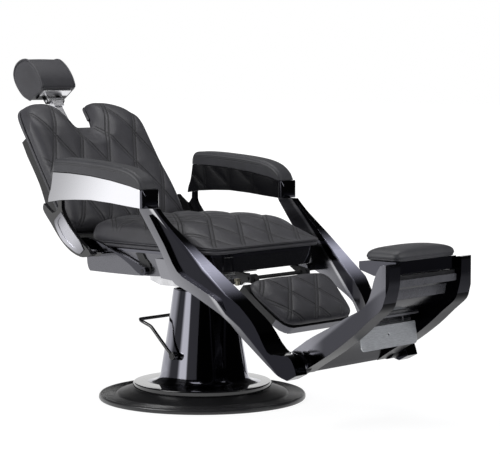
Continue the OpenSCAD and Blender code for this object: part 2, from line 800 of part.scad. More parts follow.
module guide_block(gap) {
    translate([post_n, 0, post_s]) rotate([0, -post_tilt, 0])
        translate([-post_thick / 2 - 7 - gap, -post_wide / 2 - 9 - gap, -400])
            cube([post_thick + 20 + 2 * gap, post_wide + 18 + 2 * gap, 400 - (post_s - shell_top) - 4]);
}

module post_guide() {
    color([0.05, 0.05, 0.055]) back_place() difference() {
        guide_block(0);
        translate([post_n, 0, post_s]) rotate([0, -post_tilt, 0]) {
            translate([-post_thick / 2 - 0.3, -post_wide / 2 - 0.3, -395])
                cube([post_thick + 0.6, post_wide + 0.6, 400]);
        }
    }
}

module back_lever() {
    color([0.35, 0.35, 0.37]) difference() {
        union() {
            across(lean_y - 9, lean_y + 9)
                polygon([[hx - 9, hz - 8], [hx - 3, hz - 36], [hx + 13, hz - 36], [hx + 19, hz]]);
            shaft(hx, hz, lean_y - 9, lean_y + 9, 16);
            back_place() across(lean_y - 9, lean_y + 9)
                polygon([[-16, -4], [-57, 64], [-57, 80], [-40, 80], [-12, 10]]);
        }
        shaft(hx, hz, lean_y - 30, lean_y + 30, hinge_r + run);
        across(lean_y - 30, lean_y + 30) polygon([
            [hx + 0.2, hz - 22], [hx + 9.8, hz - 22], [hx + 9.8, hz - 40], [hx + 0.2, hz - 40]
        ]);
    }
}

module back_piping() {
    r = 5;
    right = concat([for (g = [-98, -116, -150, -170, -190, -206, -220, -232, -242, -250])
            let (y = g * wide) [y + r * 0.6, back_top(y) - r]],
        [[-back_half + r, 440], [-back_half + r, 330], [-back_half + r, 220], [-back_half + r, 122],
            [-back_half + 20, 96]]);
    color([0.09, 0.09, 0.1]) back_place() translate([pipe_n + r + 0.1, 0, 0]) {
        both() for (k = [0:len(right) - 2])
            rod_low([0, right[k][0], right[k][1]], [0, right[k + 1][0], right[k + 1][1]], r);
        rod_low([0, -back_half + 20, 96], [0, back_half - 20, 96], r);
    }
}

module back_cushion() {
    n = 26;
    m = 20;
    s0 = 92;
    face = pipe_n + back_thick;
    function spot(i, j) = let (u = -1 + 2 * i / n, t = j / m, y = back_half * u,
        low = s0 + 5 * u * u + 11 * pow(abs(u), 8), s = low + (back_top(y) - low) * t)
        [y - u * 3 * pow((s - 300) / 170, 2), s];
    function margin(i, j) = let (p = spot(i, j), a = abs(p[0]),
        d1 = back_half - a, d2 = p[1] - s0, d3 = back_top(a) - p[1]) max(0, min(d1, d2, d3 * 0.9));
    function notch(y, s) = ease((norm([y, max(0, 478 - s) * 1.2]) - 26) / 84);
    top = [
        for (i = [0:n]) [
            for (j = [0:m])
                let (p = spot(i, j), d = margin(i, j), w = sqrt(1 - pow(1 - clamp01(d / 44), 2)),
                    k = notch(p[0], p[1]),
                    c = 0.52 * p[1] - 46, puff = 6 * (tuft((p[0] + c) / 118, (c - p[0]) / 118) - 1)
                        * ease(d / 40), body = (face - pipe_n - 20) * (0.15 + 0.85 * k) + 5 * k)
                [pipe_n + 20 + body * w + puff * k + bend(p[1]), p[0], p[1]]
        ]
    ];
    levels = [[1, 15], [6, 11.5], [13, 10.6], [13, soft]];
    function pull(p, d) = let (cy = 0, cs = 300, y = p[0], s = p[1],
        top_d = s > 440 ? d : 0, low_d = s < 130 ? d : 0)
        [y - (abs(y) > 60 ? side(y) * d : 0) + 0, s - top_d + low_d];
    rings = [
        for (l = levels) [
            for (g = border(n, m)) let (p = pull(spot(g[0], g[1]), l[0])) [pipe_n + l[1], p[0], p[1]]
        ]
    ];
    color([0.1, 0.1, 0.11]) back_place() soft_form(top, n, m, rings);
}

// ================= headrest =================
module headrest_post() {
    color([0.75, 0.75, 0.77]) post_place() {
        translate([-post_thick / 2, -post_wide / 2, -340]) cube([post_thick, post_wide, 330]);
    }
}

module headrest_clamp() {
    color([0.06, 0.06, 0.07]) post_place() difference() {
        union() {
            translate([0, 25.5, 0]) rotate([90, 0, 0]) cylinder(r = 11, h = 51, $fn = mid);
            translate([-10, -23, -26]) cube([20, 46, 26]);
        }
        translate([-post_thick / 2, -post_wide / 2, -40]) cube([post_thick, post_wide, 30]);
        translate([0, 40, 0]) rotate([90, 0, 0]) cylinder(r = 5 + run, h = 80, $fn = mid);
    }
}

module headrest_plate() {
    color([0.7, 0.7, 0.72]) post_place() difference() {
        union() {
            translate([-14, -60, 16]) cube([48, 120, 6]);
            both() {
                translate([0, 35, 0]) rotate([90, 0, 0]) cylinder(r = 11, h = 9, $fn = mid);
                translate([-11, 26, 0]) cube([22, 9, 17]);
            }
        }
        translate([0, 60, 0]) rotate([90, 0, 0]) cylinder(r = 5, h = 120, $fn = mid);
    }
}

module headrest_pin() {
    color([0.5, 0.5, 0.52]) post_place() translate([0, 37, 0]) rotate([90, 0, 0])
        cylinder(r = 5, h = 74, $fn = mid);
}

// side view of the headrest in the post's own frame
module head_profile(k) {
    polygon([for (q = [[-24, 22.4], [-37, 38], [-45, 56], [-50, 82], [-50, 111], [-43, 134],
        [-14, 150], [5, 151], [25, 144], [42, 132], [53, 102], [57, 72], [54, 45], [45, 22.4]])
        [3 + (q[0] - 3) * k, 22.4 + (q[1] - 22.4) * k]]);
}

module headrest_cushion() {
    color([0.2, 0.2, 0.22]) post_place() hull() {
        across(-head_half, -head_half + 1) head_profile(0.9);
        across(-head_half + 4, -head_half + 5) head_profile(0.96);
        across(-head_half + 14, head_half - 14) head_profile(1);
        across(head_half - 5, head_half - 4) head_profile(0.96);
        across(head_half - 1, head_half) head_profile(0.9);
    }
}

// ================= calf rest =================
module calf_outline(k) {
    polygon([[26, -180 + k], [60, -179 + k], [120, -172 + k], [170, -162 + k], [192, -152 + k],
        [205, -138 + k], [211, -120 + k], [211, 120 - k], [205, 138 - k], [192, 152 - k],
        [170, 162 - k], [120, 172 - k], [60, 179 - k], [26, 180 - k]]);
}

module calf_shell() {
    color([0.03, 0.03, 0.035]) calf_place() difference() {
        union() {
            translate([0, 0, -20]) linear_extrude(24) calf_outline(0);
            // lip that turns back under the lower edge
            across(-120, 120) polygon(concat([[150, -19]],
                curve([[158, -25], [172, -29], [192, -29], [205, -26], [210, -18]], 3)));
            both() across(100, 118) union() {
                circle(r = 12, $fn = mid);
                polygon([[0, -12], [40, -19], [40, 4], [20, 4], [0, 12]]);
            }
        }
        both() shaft(0, 0, 90, 130, 6 + run);
        translate([0, 0, -22]) linear_extrude(16) offset_in();
        shaft(0, 0, -98, 98, 9);
    }
}

module offset_in() {
    polygon([[36, -168], [60, -167], [120, -160], [150, -154], [150, 154], [120, 160], [60, 167],
        [36, 168]]);
}

module calf_cushion() {
    n = 14;
    m = 20;
    function half(t) = 178 - 26 * ease((t - 60) / 160);
    function spot(i, j) = let (u = -1 + 2 * i / n, v = -1 + 2 * j / m, q = rounded(u, v, 7),
        t = 118 + 91 * q[0]) [t, half(t) * q[1]];
    top = [
        for (i = [0:n]) [
            for (j = [0:m])
                let (p = spot(i, j), s = max(abs(-1 + 2 * i / n), abs(-1 + 2 * j / m)),
                    w = sqrt(1 - pow(clamp01((s - 0.72) / 0.28), 2)),
                    puff = 4 * (tuft((p[0] - 30) / 140 + p[1] / 120, (p[0] - 30) / 140 - p[1] / 120) - 1)
                        * ease((1 - s) / 0.2))
                [p[0], p[1], 15 + 21 * max(w, 0) + 5 * (1 - s * s) + puff]
        ]
    ];
    rings = [
        for (l = [[2, 9], [5, 4 + soft]]) [
            for (g = border(n, m)) let (p = spot(g[0], g[1]))
                [118 + (p[0] - 118) * (1 - l[0] / 91), p[1] * (1 - l[0] / 170), l[1]]
        ]
    ];
    color([0.1, 0.1, 0.11]) calf_place() soft_form(top, n, m, rings);
}

// ================= footrest =================
module leg_side() {
    polygon(concat(
        curve([[556, 221], [580, 240], [610, 263], [682, 300], [735, 330], [px - 62, 357], [px - 41, 380],
            [px - 29, pz - 66], [px - 21, pz - 37], [px - 11, pz - 12], [px, pz + 6]], 3),
        [[px + 10, pz + 10], [px + 23, pz + 10], [px + 24, pz - 4]],
        curve([[px + 23, pz - 34], [px + 21, pz - 56], [px + 13, 386], [px + 1, 358], [px - 41, 323],
            [753, 276], [682, 225], [610, 181], [572, 156]], 3)));
}

module leg_arm() {
    sh = seat_half - 250;
    color([0.35, 0.35, 0.38]) difference() {
        union() {
            intersection() {
                across(leg_in, 232) leg_side();
                translate([0, 0, 100]) linear_extrude(420) polygon([
                    [530, leg_in], [530, 230 + sh], [566, 226 + sh], [607, 209 + sh], [751, 208 + sh],
                    [px + 1, 204 + sh], [px + 17, 200 + sh], [px + 24, 190 + sh], [px + 27, leg_in]
                ]);
            }
            shaft(vx, vz, 190, 230 + sh, 31);
        }
        shaft(vx, vz, 120, 240 + sh, 10 + run);
        shaft(px, pz, leg_in - 10, leg_in + 20, pad_pin_r + run);
    }
}

module leg_arm_left() { leg_arm(); }
module leg_arm_right() { mirror([0, 1, 0]) leg_arm(); }

module footrest_frame() {
    color([0.1, 0.1, 0.11]) difference() {
        across(-leg_in, leg_in) polygon(concat(
            [[548, 205], [556, 222], [610, 262], [682, 300], [735, 331], [765, 347], [px - 62, 360],
                [px - 43, 382], [px - 29, pz - 49], [px - 23, pz - 39], [px + 7, pz - 39],
                [px + 7, pz - 59], [px + 1, pz - 65], [px - 27, pz - 69], [px - 33, 374], [px - 59, 350],
                [768, 338], [762, 334], [746, 330], [741, 324], [731, 322],
                [724, 316], [722, 309], [708, 303], [697, 296], [694, 285]],
            [[640, 238], [610, 205], [588, 174], [575, 158], [563, 155], [548, 168]]));
        across(-leg_in - 1, leg_in + 1) polygon([
            [560, 210], [612, 252], [674, 285], [680, 283], [634, 244], [604, 210], [580, 176],
            [567, 168], [558, 180]
        ]);
        for (y = [-90, 90]) translate([706, y, 280]) cylinder(r = 3, h = 28, $fn = mid);
    }
}

module footplate() {
    t = plate_thick;
    color([0.6, 0.6, 0.62]) difference() {
        union() {
            translate([731.4, 0, 225]) rotate([0, -10.2, 0]) translate([-t, 0, 0]) rotate([90, 0, 90])
                linear_extrude(t) union() {
                    translate([-130, 16]) square([260, 47]);
                    translate([-114, 0]) square([228, 30]);
                    for (y = [-114, 114]) translate([y, 16]) circle(r = 16, $fn = mid);
                }
            translate([696, -130, 289 - t]) cube([24.6, 260, t]);
        }
        for (y = [-90, 90]) translate([706, y, 280]) cylinder(r = 3.2, h = 26, $fn = mid);
        translate([690, 0, 262]) rotate([0, 90, 0]) cylinder(r = 4, h = 60, $fn = mid);
    }
}

module footplate_screws() {
    color([0.7, 0.7, 0.72]) for (y = [-90, 90]) translate([706, y, 0]) {
        translate([0, 0, 285 - plate_thick]) cylinder(r = 2.9, h = 22 + plate_thick, $fn = mid);
        translate([0, 0, 285 - plate_thick + 0.9 - 3.9]) cylinder(r = 5.5, h = 3, $fn = mid);
    }
}

// ================= ankle pad =================
module foot_pad_base() {
    color([0.12, 0.12, 0.13]) difference() {
        union() {
            across(-leg_in + 2, leg_in - 2) polygon([
                [px - 122, pz - 8], [px - 122, pz + 8], [px - 89, pz + 12], [px + 7, pz + 12],
                [px + 7, pz - 22], [px + 4, pz - 25], [px - 69, pz - 30], [px - 118, pz - 16]
            ]);
            both() shaft(px, pz, leg_in - 30, leg_in + 18, pad_pin_r);
        }
        across(-120, 120) polygon([
            [px - 109, pz - 10], [px - 109, pz], [px - 84, pz + 4], [px - 11, pz + 4],
            [px - 11, pz - 34], [px - 74, pz - 36]
        ]);
    }
}

module foot_pad_cushion() {
    n = 12;
    m = 20;
    pad_half = leg_in - 5;
    top = [
        for (i = [0:n]) [
            for (j = [0:m])
                let (u = -1 + 2 * i / n, v = -1 + 2 * j / m, q = rounded(u, v, 8),
                    s = max(abs(u), abs(v)), w = sqrt(1 - pow(clamp01((s - 0.7) / 0.3), 2)))
                [px - 47 + 58 * q[0], pad_half * q[1],
                    pz + 30 + 13 * max(w, 0) + 6 * (1 - q[0] * q[0]) * (1 - q[1] * q[1])]
        ]
    ];
    rings = [
        for (l = [[-1, 22], [2, 14.5], [5, 12 + soft]]) [
            for (g = border(n, m)) let (q = rounded(-1 + 2 * g[0] / n, -1 + 2 * g[1] / m, 8))
                [px - 47 + (58 - l[0]) * q[0], (pad_half - l[0]) * q[1], pz + l[1]]
        ]
    ];
    color([0.14, 0.14, 0.15]) soft_form(top, n, m, rings);
}

base_ring();
base_plate();
base_cover();
column_front_cover();
column_rear_cover();
pump_cylinder();
pump_body();
pump_bolts();
return_spring();
pedal_yoke();
pedal_stub_left();
pedal_stub_right();
pump_plunger();
piston_ram();
piston_seal();
seat_hub();
seat_bracket();
mount_bolts();
seat_frame();
seat_side_panel_left();
seat_side_panel_right();
seat_apron();
seat_piping();
seat_cushion();
arm_housing_left();
arm_housing_right();
arm_front_block_left();
arm_front_block_right();
arm_pad_left();
arm_pad_right();
rear_bracket_left();
rear_bracket_right();
side_frame_left();
side_frame_right();
back_hinge_rod();
calf_hinge_rod();
leg_pivot_pins();
lever_bracket();
recline_lever();
recline_cylinder();
recline_rod();
back_shell();
back_cushion();
back_piping();
post_guide();
back_lever();
headrest_post();
headrest_clamp();
headrest_plate();
headrest_pin();
headrest_cushion();
calf_shell();
calf_cushion();
leg_arm_left();
leg_arm_right();
footrest_frame();
footplate();
footplate_screws();
foot_pad_base();
foot_pad_cushion();
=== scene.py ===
"""Hydraulic barber chair: upholstery, polished metal and studio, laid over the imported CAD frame.

Every piece is built in the frame's own place. Shapes are worked out in millimetres, +X towards
the footrest, +Y to the sitter's left, +Z up, and go into the meshes in metres.
"""

import json
import math

import bmesh
import bpy
import numpy as np
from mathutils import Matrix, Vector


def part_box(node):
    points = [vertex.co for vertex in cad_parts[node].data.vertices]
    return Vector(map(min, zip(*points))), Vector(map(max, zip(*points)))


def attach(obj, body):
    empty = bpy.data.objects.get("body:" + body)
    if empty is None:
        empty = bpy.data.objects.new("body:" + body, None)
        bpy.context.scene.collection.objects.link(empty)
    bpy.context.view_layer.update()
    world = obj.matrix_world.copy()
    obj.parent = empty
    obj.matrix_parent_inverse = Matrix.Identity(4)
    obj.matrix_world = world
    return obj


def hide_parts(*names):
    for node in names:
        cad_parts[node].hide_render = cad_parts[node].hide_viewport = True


bl_info = {
    "name": "Hydraulic Barber Chair",
    "version": (1, 0, 0),
    "blender": (4, 5, 0),
    "location": "View3D > Sidebar > Barber Chair",
    "description": "Upholstery, polished metal and studio for a reclining barber chair",
    "category": "Add Mesh",
}

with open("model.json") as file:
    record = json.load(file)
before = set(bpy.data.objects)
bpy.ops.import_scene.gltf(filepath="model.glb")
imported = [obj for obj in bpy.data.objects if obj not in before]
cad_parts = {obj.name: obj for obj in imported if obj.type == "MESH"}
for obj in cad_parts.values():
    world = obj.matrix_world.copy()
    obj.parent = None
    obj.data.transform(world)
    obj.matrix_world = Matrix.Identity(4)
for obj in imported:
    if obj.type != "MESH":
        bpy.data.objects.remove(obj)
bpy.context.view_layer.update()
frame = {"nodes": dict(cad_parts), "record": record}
BODY_OF = {node: body for body, nodes in frame["record"]["behaviour"]["bodies"].items()
           for node in nodes}
RENDER_LEVELS = 1
# where the back and the calf rest are hinged, in the chair's frame, in millimetres
BACK_HINGE, CALF_HINGE = (-235, 0, 448), (308, 0, 402)
# foot of the headrest post in the back's own frame, and its lean there
POST_FOOT, POST_LEAN = (-113, 0, 619), math.radians(4.5)
# axis of the pedal's shafts, across the chair at this x and z
PEDAL_SHAFT = (-12, 140)
DONE = {"FINISHED"}


def span(node, axis):
    """Lowest and highest coordinate of a node along one axis, in metres."""
    low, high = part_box(node)
    return low[axis], high[axis]


# ---------------------------------------------------------------- sizes and colours
def length_prop(name, description, default):
    return bpy.props.FloatProperty(name=name, description=description, default=default,
                                   unit="LENGTH")


def angle_prop(name, description, degrees):
    return bpy.props.FloatProperty(name=name, description=description,
                                   default=math.radians(degrees), subtype="ANGLE")


def colour_prop(name, description, default):
    return bpy.props.FloatVectorProperty(name=name, description=description, default=default,
                                         subtype="COLOR", min=0, max=1)


class ChairSizes(bpy.types.PropertyGroup):
    seat_half: length_prop("Seat half width", "Seat centre to the side of its cushion",
                           span("seat_cushion", 1)[1])
    seat_front: length_prop("Seat front", "Front end of the seat, from the column's centre",
                            span("seat_cushion", 0)[1])
    seat_rear: length_prop("Seat rear", "Rear end of the seat, from the column's centre",
                           span("seat_cushion", 0)[0])
    tuft_length: length_prop("Tuft length", "Seat tuft from front to back", 0.139)
    tuft_width: length_prop("Tuft width", "Seat tuft across the seat", 0.126)
    tuft_depth: length_prop("Tuft depth", "How far a sewn line lies under the tufts", 0.0050)
    seam_half: length_prop("Seam half width", "Seam line to each of its two stitch rows", 0.0052)
    stitch: length_prop("Stitch pitch", "Length of one stitch and the gap after it", 0.0058)
    back_lean: angle_prop("Back lean", "Lean of the back away from upright", 32.5)
    back_half: length_prop("Back half width", "Back centre to the side of its cushion", 0.255)
    back_height: length_prop("Back height", "Back hinge to the top of the cushion", 0.573)
    back_thick: length_prop("Back thickness", "Thickness of the back cushion", 0.050)
    head_half: length_prop("Headrest half width", "Headrest centre to its end",
                           span("headrest_cushion", 1)[1])
    calf_slope: angle_prop("Calf slope", "Slope of the calf rest", 40)
    arm_inner: length_prop("Arm inner face", "Seat centre to the inner face of an arm",
                           span("arm_housing_left", 1)[0])
    arm_outer: length_prop("Arm outer face", "Seat centre to the outer face of an arm",
                           span("arm_housing_left", 1)[1])


class ChairColours(bpy.types.PropertyGroup):
    leather: colour_prop("Leather", "Seat, back and calf leather", (0.052, 0.051, 0.058))
    pad: colour_prop("Pads", "Arm, head and foot pad skin", (0.050, 0.050, 0.056))
    thread: colour_prop("Thread", "Stitching thread", (0.075, 0.075, 0.080))
    chrome: colour_prop("Polished metal", "Outer panels of the arms", (0.66, 0.66, 0.69))
    dark_metal: colour_prop("Dark metal", "Trim band of the seat frame", (0.13, 0.13, 0.15))
    gloss: colour_prop("Gloss black", "Disc, apron and arm enamel", (0.004, 0.004, 0.005))
    satin: colour_prop("Satin black", "Powder coat on the base and the back",
                       (0.012, 0.012, 0.013))
    rubber: colour_prop("Rubber", "Floor ring", (0.014, 0.014, 0.015))
    floor: colour_prop("Floor", "Studio floor", (0.86, 0.86, 0.87))


class ChairStudio(bpy.types.PropertyGroup):
    camera_place: bpy.props.FloatVectorProperty(
        name="Camera place", description="Where the camera stands", default=(4.027, -4.318, 1.014),
        subtype="XYZ", unit="LENGTH")
    camera_turn: bpy.props.FloatVectorProperty(
        name="Camera turn", description="Rotation of the camera",
        default=(math.radians(85.30), 0, math.radians(41.57)), subtype="EULER")
    lens: bpy.props.FloatProperty(
        name="Lens", description="Focal length in millimetres on a 36 mm sensor", default=138.4)
    key: bpy.props.FloatProperty(name="Key light", description="Power in watts", default=95.0)
    fill: bpy.props.FloatProperty(name="Fill light", description="Power in watts", default=30.0)
    top: bpy.props.FloatProperty(name="Top light", description="Power in watts", default=42.0)
    sky: bpy.props.FloatProperty(name="Sky", description="Strength of the even light", default=0.42)


def sizes():
    return bpy.context.scene.chair_sizes


def colours():
    return bpy.context.scene.chair_colours


def mm(value):
    return value * 1000.0


# ---------------------------------------------------------------- curves and grids
def ease(v):
    """Smooth step: 3 t squared minus 2 t cubed, with t held between 0 and 1."""
    t = np.clip(v, 0.0, 1.0)
    return t * t * (3 - 2 * t)


def dome(v):
    """Quarter circle rise: 0 at v = 0, 1 from v = 1 on."""
    return np.sqrt(np.maximum(0.0, 1 - (1 - np.clip(v, 0, 1)) ** 2))


def smooth_path(points, per_span=12, closed=False):
    """Catmull-Rom curve through the points: each span blends its four nearest points by cubics."""
    p = np.asarray(points, float)
    if closed:
        before, after, beyond = np.roll(p, 1, 0), np.roll(p, -1, 0), np.roll(p, -2, 0)
        start = p
    else:
        start, after = p[:-1], p[1:]
        before = np.vstack([p[:1], p[:-2]])
        beyond = np.vstack([p[2:], p[-1:]])
    t = (np.arange(per_span) / per_span)[None, :, None]
    a, b, c, d = (q[:, None, :] for q in (before, start, after, beyond))
    spans = 0.5 * (2 * b + (c - a) * t + (2 * a - 5 * b + 4 * c - d) * t ** 2
                   + (3 * b - a - 3 * c + d) * t ** 3)
    line = spans.reshape(-1, p.shape[1])
    return line if closed else np.vstack([line, p[-1:]])


def even_path(line, count, closed=False):
    """The same line cut into equal steps by length."""
    q = np.vstack([line, line[:1]]) if closed else np.asarray(line, float)
    run = np.concatenate([[0], np.cumsum(np.linalg.norm(np.diff(q, axis=0), axis=1))])
    at = np.linspace(0, run[-1], count, endpoint=not closed)
    return np.stack([np.interp(at, run, q[:, k]) for k in range(q.shape[1])], -1)


def superellipse(half_x, half_y, power, angle):
    """Rounded oblong: each coordinate is the circle's, raised to 2 / power with its sign kept."""
    c, s = np.cos(angle), np.sin(angle)
    return (half_x * np.sign(c) * np.abs(c) ** (2 / power),
            half_y * np.sign(s) * np.abs(s) ** (2 / power))


def squircle(u, v, power):
    """Moves a square grid onto a rounded outline: scale by the larger of |u|, |v| over the
    power mean of both."""
    s = np.maximum(np.abs(u), np.abs(v))
    m = (np.abs(u) ** power + np.abs(v) ** power) ** (1 / power)
    k = np.where(s > 0, s / np.maximum(m, 1e-9), 1.0)
    return u * k, v * k


def pad_grid(rows, cols, power):
    """A grid drawn onto a rounded outline: its two coordinates, each from -1 to 1, and the rim
    value, 0 in the middle and 1 at the edge."""
    u, v = np.meshgrid(np.linspace(-1, 1, rows), np.linspace(-1, 1, cols), indexing="ij")
    return *squircle(u, v, power), np.maximum(np.abs(u), np.abs(v))


def shoulder(rim, start, reach):
    """Quarter circle fall: 1 up to the start, 0 from a reach after it."""
    return np.sqrt(1 - np.clip((rim - start) / reach, 0, 1) ** 2)


def grid_quads(rows, cols, wrap_rows=False, wrap_cols=False, start=0, flip=False):
    """Quads between the neighbours of a rows by cols grid of points."""
    r, c = np.meshgrid(np.arange(rows if wrap_rows else rows - 1),
                       np.arange(cols if wrap_cols else cols - 1), indexing="ij")
    r2, c2 = (r + 1) % rows, (c + 1) % cols
    quads = np.stack([r * cols + c, r2 * cols + c, r2 * cols + c2, r * cols + c2], -1)
    quads = quads.reshape(-1, 4)
    return (quads[:, ::-1] if flip else quads) + start


def border(rows, cols):
    """Indexes of the points once round the edge of a rows by cols grid."""
    down = np.arange(rows - 1) * cols
    along = (rows - 1) * cols + np.arange(cols - 1)
    up = (rows - 1 - np.arange(rows - 1)) * cols + cols - 1
    back = cols - 1 - np.arange(cols - 1)
    return np.concatenate([down, along, up, back])


def closed_form(top, loops, floor):
    """Closed shell: top grid, wall loops from its edge down, and a floor grid whose edge is the
    last loop. All three run over the same rows and columns."""
    rows, cols = top.shape[:2]
    edge = border(rows, cols)
    count = len(edge)
    points = [top.reshape(-1, 3)] + list(loops) + [floor.reshape(-1, 3)]
    starts = np.cumsum([0] + [len(p) for p in points])
    chain = [edge] + [starts[k + 1] + np.arange(count) for k in range(len(loops))]
    chain.append(starts[len(loops) + 1] + edge)
    walls = [np.stack([a, b, np.roll(b, -1), np.roll(a, -1)], -1) for a, b in zip(chain, chain[1:])]
    faces = [grid_quads(rows, cols, flip=True)] + walls
    faces.append(grid_quads(rows, cols, start=starts[len(loops) + 1]))
    return np.vstack(points), np.vstack(faces)


def tube(path, radius, sides=16, closed=False, aside=(0, 0, 1)):
    """Round bar: a circle carried along the path, set square to it with the aside direction
    crossed into the tangent. Open ends are domed by three shrinking rings."""
    p = np.asarray(path, float)
    tangent = (np.roll(p, -1, 0) - np.roll(p, 1, 0)) if closed else np.gradient(p, axis=0)
    tangent /= np.linalg.norm(tangent, axis=1)[:, None]
    across = np.cross(tangent, np.asarray(aside, float))
    across /= np.linalg.norm(across, axis=1)[:, None]
    upward = np.cross(across, tangent)
    r = np.broadcast_to(np.asarray(radius, float), (len(p),)).copy()
    if not closed:
        cap = np.array([1.0, 0.87, 0.5, 0.02])
        reach = np.array([0.0, 0.5, 0.87, 1.0])
        head = p[:1] - tangent[:1] * (reach[:0:-1, None] * r[0])
        tail = p[-1:] + tangent[-1:] * (reach[1:, None] * r[-1])
        p = np.vstack([head, p, tail])
        across = np.vstack([np.repeat(across[:1], 3, 0), across, np.repeat(across[-1:], 3, 0)])
        upward = np.vstack([np.repeat(upward[:1], 3, 0), upward, np.repeat(upward[-1:], 3, 0)])
        r = np.concatenate([cap[:0:-1] * r[0], r, cap[1:] * r[-1]])
    a = np.linspace(0, 2 * np.pi, sides, endpoint=False)[None, :, None]
    circle = np.cos(a) * across[:, None] + np.sin(a) * upward[:, None]
    ring = p[:, None] + r[:, None, None] * circle
    faces = grid_quads(len(p), sides, wrap_rows=closed, wrap_cols=True)
    ends = [] if closed else [np.arange(sides)[::-1], np.arange(sides) + (len(p) - 1) * sides]
    return ring.reshape(-1, 3), faces, ends


def turned(profile, segments=160):
    """Turned form: a closed profile of (radius, height) carried round the upright axis. The
    radius zero points close on the axis."""
    q = np.asarray(profile, float)
    a = np.linspace(0, 2 * np.pi, segments, endpoint=False)[:, None]
    points = np.stack([q[None, :, 0] * np.cos(a), q[None, :, 0] * np.sin(a),
                       np.broadcast_to(q[None, :, 1], (segments, len(q)))], -1)
    return points.reshape(-1, 3), grid_quads(segments, len(q), wrap_rows=True, wrap_cols=True)


def rounded_profile(points, radii, steps=5):
    """Closed polygon with its corners rounded: each corner becomes a quadratic arc that leaves
    and meets its sides at the corner's radius."""
    p = np.asarray(points, float)
    r = np.asarray(radii, float)[:, None]
    to_last, to_next = np.roll(p, 1, 0) - p, np.roll(p, -1, 0) - p
    l0, l1 = (np.linalg.norm(v, axis=1)[:, None] for v in (to_last, to_next))
    reach = np.minimum(r, 0.48 * np.minimum(l0, l1))
    a, b = p + to_last / l0 * reach, p + to_next / l1 * reach
    t = np.linspace(0, 1, steps)[None, :, None]
    arc = (1 - t) ** 2 * a[:, None] + 2 * t * (1 - t) * p[:, None] + t ** 2 * b[:, None]
    return arc.reshape(-1, 2)


def tilt(points, angle, origin):
    """Turns points about the Y axis through the origin point, +X towards +Z."""
    c, s = math.cos(angle), math.sin(angle)
    x, y, z = points[..., 0], points[..., 1], points[..., 2]
    return np.stack([origin[0] + x * c - z * s, origin[1] + y, origin[2] + x * s + z * c], -1)


def back_place(points):
    """Back's own frame (forward, across, along the back) into the chair's frame."""
    return tilt(points, sizes().back_lean, BACK_HINGE)


def post_place(points):
    """Headrest post's own frame into the chair's frame."""
    return back_place(tilt(points, POST_LEAN, POST_FOOT))


def calf_place(points):
    """Calf rest's own frame (down the slope, across, square to it) into the chair's frame."""
    return tilt(points, -sizes().calf_slope, CALF_HINGE)


# ---------------------------------------------------------------- putting a piece in the scene
def linked(name, data):
    """A new object that shows the data, linked to the scene."""
    made = bpy.data.objects.new(name, data)
    bpy.context.scene.collection.objects.link(made)
    return made


def mesh_of(name, points, faces, rings=()):
    """A mesh from points in millimetres, quads and end rings."""
    mesh = bpy.data.meshes.new(name)
    mesh.from_pydata((np.asarray(points) * 0.001).tolist(), [],
                     np.asarray(faces).tolist() + [ring.tolist() for ring in rings])
    return mesh


def put(name, points, faces, body, slot, look, stands_for=(), rings=(), values=None, crease=40):
    """Makes a piece from points in millimetres and faces, and gives it its body and finish."""
    mesh = mesh_of(name, points, faces, rings)
    for key, array in (values or {}).items():
        field = mesh.attributes.new(key, "FLOAT", "POINT")
        field.data.foreach_set("value", np.asarray(array, np.float32).ravel())
    bm = bmesh.new()
    bm.from_mesh(mesh)
    bmesh.ops.remove_doubles(bm, verts=bm.verts, dist=2e-6)
    bmesh.ops.recalc_face_normals(bm, faces=bm.faces)
    bm.to_mesh(mesh)
    bm.free()
    mesh.shade_smooth()
    mesh.set_sharp_from_angle(angle=math.radians(crease))
    return enlist(linked(name, mesh), body, [look], stands_for)


def enlist(piece, body, looks, stands_for=()):
    """Hangs a piece on its body, and gives it its finishes and the nodes it stands for."""
    piece.data.materials.clear()
    for look in looks:
        piece.data.materials.append(finish(look))
    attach(piece, body)
    if stands_for:
        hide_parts(*stands_for)
    return piece


def join_parts(parts):
    """Several (points, faces, ends) lists as one list of points, faces and end faces."""
    points, faces, ends, start = [], [], [], 0
    for p, f, e in parts:
        points.append(p)
        faces.append(np.asarray(f) + start)
        ends += [np.asarray(q) + start for q in e]
        start += len(p)
    return np.vstack(points), np.vstack(faces), ends


def frozen(piece):
    """Applies a piece's modifiers, so the mesh holds the finished shape."""
    seen = piece.evaluated_get(bpy.context.evaluated_depsgraph_get())
    made = bpy.data.meshes.new_from_object(seen)
    piece.modifiers.clear()
    piece.data = made
    return piece


